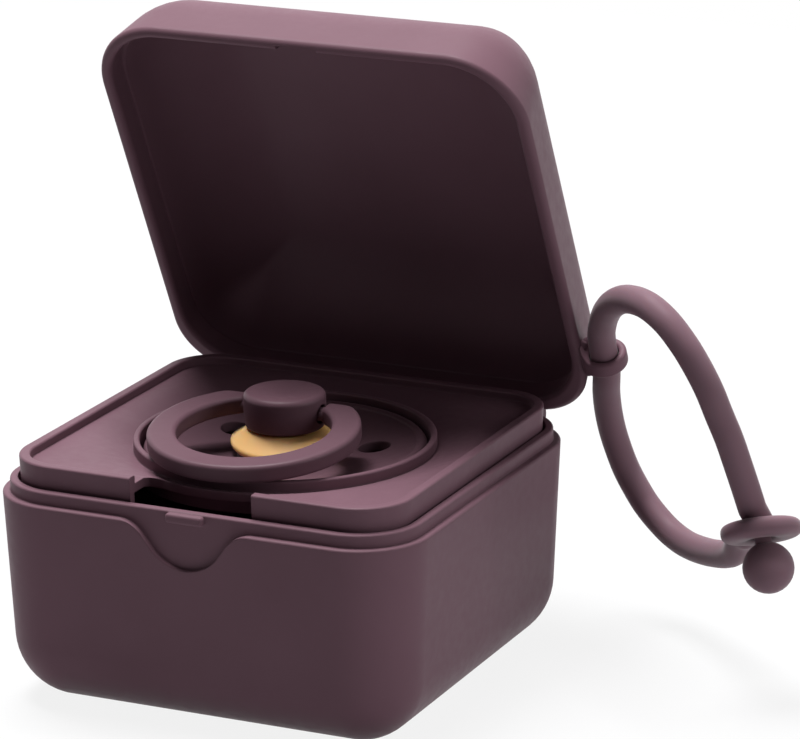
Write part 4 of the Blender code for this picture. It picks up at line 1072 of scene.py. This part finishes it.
def make_knob(parts, guides, material):
    """The knob that closes the pacifier, with a stem down the teat and two sockets for the handle."""
    rounding = KNOB_ROUNDING
    stem_radius = TEAT_NECK_RADIUS - TEAT_WALL - CLEARANCE
    profile = []
    for step in range(ARC_STEPS):
        share = step / ARC_STEPS
        hollow = KNOB_DISH * (1 + math.cos(math.pi * share)) / 2
        profile.append(((KNOB_TOP_RADIUS - rounding) * share, KNOB_TOP - hollow))
    profile += arc((KNOB_TOP_RADIUS - rounding, KNOB_TOP - rounding), rounding, 90, 0, ARC_STEPS // 2)
    profile.append((KNOB_TOP_RADIUS, PIVOT_Z))
    foot = KNOB_FOOT_ROUNDING
    profile += arc((KNOB_FOOT_RADIUS - foot, KNOB_BOTTOM + foot), foot, 0, -90, ARC_STEPS // 2)
    profile.append((stem_radius, KNOB_BOTTOM))
    profile.append((stem_radius, KNOB_BOTTOM - STEM_LENGTH))
    profile.append((0.0, KNOB_BOTTOM - STEM_LENGTH))
    knob = turned("knob_moulding", profile, parts, closed=False)
    for side in (-1, 1):
        deep = side * (KNOB_TOP_RADIUS - SOCKET_DEPTH)
        out = side * (KNOB_TOP_RADIUS + CUT_OVERRUN)
        socket = rod(f"socket_{side}", (deep, 0.0, PIVOT_Z), (out, 0.0, PIVOT_Z), SOCKET_RADIUS, guides)
        boolean(knob, socket, "DIFFERENCE")
    dress(knob, material, "pacifier", "pacifier_knob")


def handle_outline():
    """The C-shaped handle in plan, its centre out along -Y, with round ends hooked beside the knob."""
    tip = HANDLE_END_RADIUS
    hook = HANDLE_HOOK_RADIUS
    side = KNOB_TOP_RADIUS + CLEARANCE
    tip_y = HANDLE_END_REACH - tip
    tip_x = math.sqrt((HANDLE_OUTER_RADIUS - tip) ** 2 - (tip_y + HANDLE_OFFSET) ** 2)
    tip_turn = math.degrees(math.atan2(tip_y + HANDLE_OFFSET, tip_x))
    hook_x = side + hook
    hook_rise = math.sqrt((HANDLE_INNER_RADIUS + hook) ** 2 - hook_x**2)
    hook_turn = math.degrees(math.atan2(hook_rise, hook_x))
    right = arc((0.0, -HANDLE_OFFSET), HANDLE_OUTER_RADIUS, -90, tip_turn, TURN_STEPS // 2)[:-1]
    right += arc((tip_x, tip_y), tip, tip_turn, 90, ARC_STEPS)
    right += arc((hook_x, HANDLE_END_REACH - hook), hook, 90, 180, SMALL_ARC_STEPS)
    right += arc((hook_x, hook_rise - HANDLE_OFFSET), hook, 180, 180 + hook_turn, SMALL_ARC_STEPS)[:-1]
    right += arc((0.0, -HANDLE_OFFSET), HANDLE_INNER_RADIUS, hook_turn, -90, TURN_STEPS // 2)
    left = [(-x, y) for x, y in reversed(right[1:-1])]
    return right, left


def make_handle(parts, guides, material):
    """The C-shaped ring handle. Its own frame has the pivot at the origin and the ring out along -Y."""
    half = HANDLE_THICKNESS / 2
    edge = HANDLE_ROUNDING
    right, left = handle_outline()
    handle = extruded("handle_moulding", right + left, -half, half, parts)
    bevel = handle.modifiers.new("round", "BEVEL")
    bevel.width = edge
    bevel.segments = SMALL_ARC_STEPS
    bevel.limit_method = "ANGLE"
    bevel.angle_limit = HANDLE_EDGE_ANGLE
    apply_modifiers(handle)
    for side in (-1, 1):
        deep = side * (KNOB_TOP_RADIUS - SOCKET_DEPTH + CLEARANCE)
        out = side * (KNOB_TOP_RADIUS + CLEARANCE + EYELET_WALL)
        stub = rod(f"stub_{side}", (deep, 0.0, 0.0), (out, 0.0, 0.0), STUB_RADIUS, guides)
        boolean(handle, stub, "UNION")
    tilt = Matrix.Translation((0.0, 0.0, PIVOT_Z)) @ Matrix.Rotation(HANDLE_TILT, 4, "X")
    dress(handle, material, "handle", "pacifier_handle", tilt)


# The strap's loop in its own plane: out from the eyelet, and along its hole towards the lid's front.
# It runs from the ring's side round through the eyelet, and back to the ring.
STRAP_ROUTE_SHARES = (
    (0.899, -0.281),
    (0.856, -0.312),
    (0.802, -0.350),
    (0.738, -0.446),
    (0.652, -0.513),
    (0.512, -0.585),
    (0.361, -0.640),
    (0.246, -0.655),
    (0.155, -0.643),
    (0.074, -0.613),
    (0.014, -0.563),
    (-0.030, -0.507),
    (-0.058, -0.431),
    (-0.072, -0.350),
    (-0.068, -0.262),
    (-0.048, -0.170),
    (-0.011, -0.070),
    (0.000, 0.000),
    (0.008, 0.070),
    (0.030, 0.140),
    (0.095, 0.240),
    (0.185, 0.330),
    (0.302, 0.405),
    (0.440, 0.450),
    (0.565, 0.446),
    (0.663, 0.403),
    (0.731, 0.347),
    (0.786, 0.278),
    (0.824, 0.194),
    (0.863, 0.113),
    (0.890, 0.022),
    (0.914, -0.069),
    (0.933, -0.150),
)
STRAP_RING_SHARES = (0.967, -0.228)
# The cord's tail narrows where it runs into the ring's side, as shares of the cord's radius
STRAP_TAIL_SHARES = (0.60, 0.74, 0.85, 0.93, 0.98)
# The ring's full section: 1 is an ellipse and a smaller share is squarer
STRAP_RING_FULLNESS = 0.75
# The cord's rounded shoulder above the ring, as shares of the ring's half height and of the cord's radius
STRAP_SHOULDER_SHARES = ((1.0, 1.0), (0.86, 0.97), (0.76, 0.88), (0.68, 0.74), (0.64, 0.59))


def smooth_route(points, count):
    """Points evenly along a Catmull-Rom curve through the given ones."""
    padded = [points[0] * 2 - points[1]] + list(points) + [points[-1] * 2 - points[-2]]
    dense = []
    for before, start, end, after in zip(padded, padded[1:], padded[2:], padded[3:]):
        for step in range(STRAP_FINE_STEPS):
            t = step / STRAP_FINE_STEPS
            bend = (before * -1 + end) * t
            bend += (before * 2 - start * 5 + end * 4 - after) * t**2
            bend += (before * -1 + start * 3 - end * 3 + after) * t**3
            dense.append(start + bend / 2)
    dense.append(points[-1])
    along = [0.0]
    for near, far in zip(dense, dense[1:]):
        along.append(along[-1] + (far - near).length)
    route = []
    place = 0
    for index in range(count):
        goal = along[-1] * index / (count - 1)
        while place < len(dense) - 2 and along[place + 1] < goal:
            place += 1
        share = (goal - along[place]) / (along[place + 1] - along[place])
        route.append(dense[place].lerp(dense[place + 1], share))
    return route


def strap_point(out_share, along_share):
    """A place on the strap's plane, in the strap's own frame: hole axis along -Y, out along +X."""
    return Vector((out_share * STRAP_REACH, -along_share * STRAP_SPAN, 0.0))


def leaning(lean, twist):
    """A direction back along the hole, leaning out from the eyelet and twisted out of the loop's plane."""
    return Vector((math.sin(lean) * math.cos(twist), math.cos(lean) * math.cos(twist), -math.sin(twist)))


def make_strap(parts, guides, material):
    """One silicone moulding: a cord through the eyelet, with a ring at one end and a ball at the other."""
    route = smooth_route([strap_point(*shares) for shares in STRAP_ROUTE_SHARES], STRAP_ROUTE_STEPS)
    ring_centre = strap_point(*STRAP_RING_SHARES)
    ring_axis = leaning(STRAP_RING_LEAN, STRAP_RING_TWIST)
    neck_axis = leaning(STRAP_NECK_LEAN, STRAP_NECK_TWIST)
    ball_drop = STRAP_RING_HEIGHT / 2 + CLEARANCE + STRAP_BALL_RADIUS
    ball_centre = ring_centre + neck_axis * ball_drop
    curve = bpy.data.curves.new("strap_run", "CURVE")
    curve.dimensions = "3D"
    curve.bevel_depth = STRAP_RADIUS
    curve.bevel_resolution = STRAP_SIDE_STEPS
    curve.use_fill_caps = True
    points = [(point, 1.0) for point in route]
    for index, width_share in enumerate(STRAP_TAIL_SHARES):
        points[index] = (route[index], width_share)
    for height_share, width_share in STRAP_SHOULDER_SHARES:
        points.append((ring_centre - neck_axis * STRAP_RING_HEIGHT / 2 * height_share, width_share))
    neck_share = STRAP_NECK_RADIUS / STRAP_RADIUS
    points += [(ring_centre, neck_share), (ball_centre, neck_share)]
    spline = curve.splines.new("POLY")
    spline.points.add(len(points) - 1)
    for index, (point, width_share) in enumerate(points):
        spline.points[index].co = (*point, 1.0)
        spline.points[index].radius = width_share
    run = bpy.data.objects.new("strap_run", curve)
    guides.objects.link(run)
    bpy.context.view_layer.update()
    mesh = bpy.data.meshes.new_from_object(run.evaluated_get(bpy.context.evaluated_depsgraph_get()))
    bpy.data.objects.remove(run)
    body = bmesh.new()
    body.from_mesh(mesh)
    bmesh.ops.remove_doubles(body, verts=body.verts, dist=MERGE_DISTANCE)
    strap = object_from_bmesh("strap_moulding", body, parts)
    width = (STRAP_RING_RADIUS - STRAP_RING_HOLE_RADIUS) / 2
    middle = STRAP_RING_HOLE_RADIUS + width
    steps = SMALL_TURN_STEPS // 2 + 2
    section = []
    for step in range(steps):
        across = math.cos(math.pi / 2 - math.tau * step / steps)
        up = math.sin(math.pi / 2 - math.tau * step / steps)
        radius = middle + width * math.copysign(abs(across) ** STRAP_RING_FULLNESS, across)
        section.append((radius, STRAP_RING_HEIGHT / 2 * math.copysign(abs(up) ** STRAP_RING_FULLNESS, up)))
    ring = turned("strap_ring", section, guides, SMALL_TURN_STEPS)
    apply_modifiers(ring)
    facing = ring_axis.to_track_quat("Z", "Y").to_matrix().to_4x4()
    ring.data.transform(Matrix.Translation(ring_centre) @ facing)
    boolean(strap, ring, "UNION")
    ball_profile = arc((0.0, 0.0), STRAP_BALL_RADIUS, 90, -90, ARC_STEPS + 2)
    ball = turned("strap_ball", ball_profile, guides, SMALL_TURN_STEPS, False)
    apply_modifiers(ball)
    facing = neck_axis.to_track_quat("Z", "Y").to_matrix().to_4x4()
    ball.data.transform(Matrix.Translation(ball_centre) @ facing)
    boolean(strap, ball, "UNION")
    hang = Matrix.Translation(eyelet_centre()) @ Matrix.Rotation(STRAP_HANG_ANGLE, 4, "Y")
    dress(strap, material, "strap", "carry_strap", open_lid() @ hang)


def open_lid():
    """Turns closed-lid places to the lid's open ones."""
    axis = Vector((0.0, HINGE_Y, HINGE_Z))
    return Matrix.Translation(axis) @ Matrix.Rotation(-LID_OPEN_ANGLE, 4, "X") @ Matrix.Translation(-axis)


def make_pin(parts, material):
    """The hinge pin, turned with rounded ends."""
    half = HINGE_LENGTH / 2 - PIN_END_COVER - CLEARANCE
    edge = PIN_RADIUS / 4
    profile = [(0.0, half)] + arc((PIN_RADIUS - edge, half - edge), edge, 90, 0, SMALL_ARC_STEPS)
    profile += [(radius, -z) for radius, z in reversed(profile)]
    pin = turned("pin_turning", profile, parts, SMALL_TURN_STEPS, False)
    lie = Matrix.Translation((0.0, HINGE_Y, HINGE_Z)) @ Matrix.Rotation(math.pi / 2, 4, "Y")
    dress(pin, material, "lid", "hinge_pin", lie)


def main():
    """Builds every piece, then the studio and the camera."""
    parts = bpy.data.collections.new("pieces")
    guides = bpy.data.collections.new("guides")
    bpy.context.scene.collection.children.link(parts)
    bpy.context.scene.collection.children.link(guides)
    shell = moulded("case_plum", PLUM, PLUM_DEEP, SHELL_ROUGHNESS, SHELL_GLOSS)
    tray = moulded("tray_plum", PLUM, PLUM_DEEP, TRAY_ROUGHNESS, TRAY_GLOSS)
    guard = moulded(
        "pacifier_plum",
        PACIFIER_PLUM,
        PACIFIER_DEEP,
        PACIFIER_ROUGHNESS,
        PACIFIER_GLOSS,
        PACIFIER_GRAIN_SHARE,
    )
    make_base(parts, guides, shell)
    make_tray(parts, guides, tray)
    make_lid(parts, guides, shell)
    make_pin(parts, steel_look())
    make_shield(parts, guides, guard)
    make_teat(parts, rubber_look())
    make_knob(parts, guides, guard)
    make_handle(parts, guides, guard)
    make_strap(parts, guides, silicone_look())
    for guide in list(guides.objects):
        bpy.data.objects.remove(guide)
    floor()
    soft_light("key", KEY_PLACE, KEY_SIZE, KEY_WATTS)
    soft_light("side", SIDE_PLACE, SIDE_SIZE, SIDE_WATTS)
    studio_world()
    camera_at_photo()
    bpy.context.scene.view_settings.view_transform = "Standard"


main()
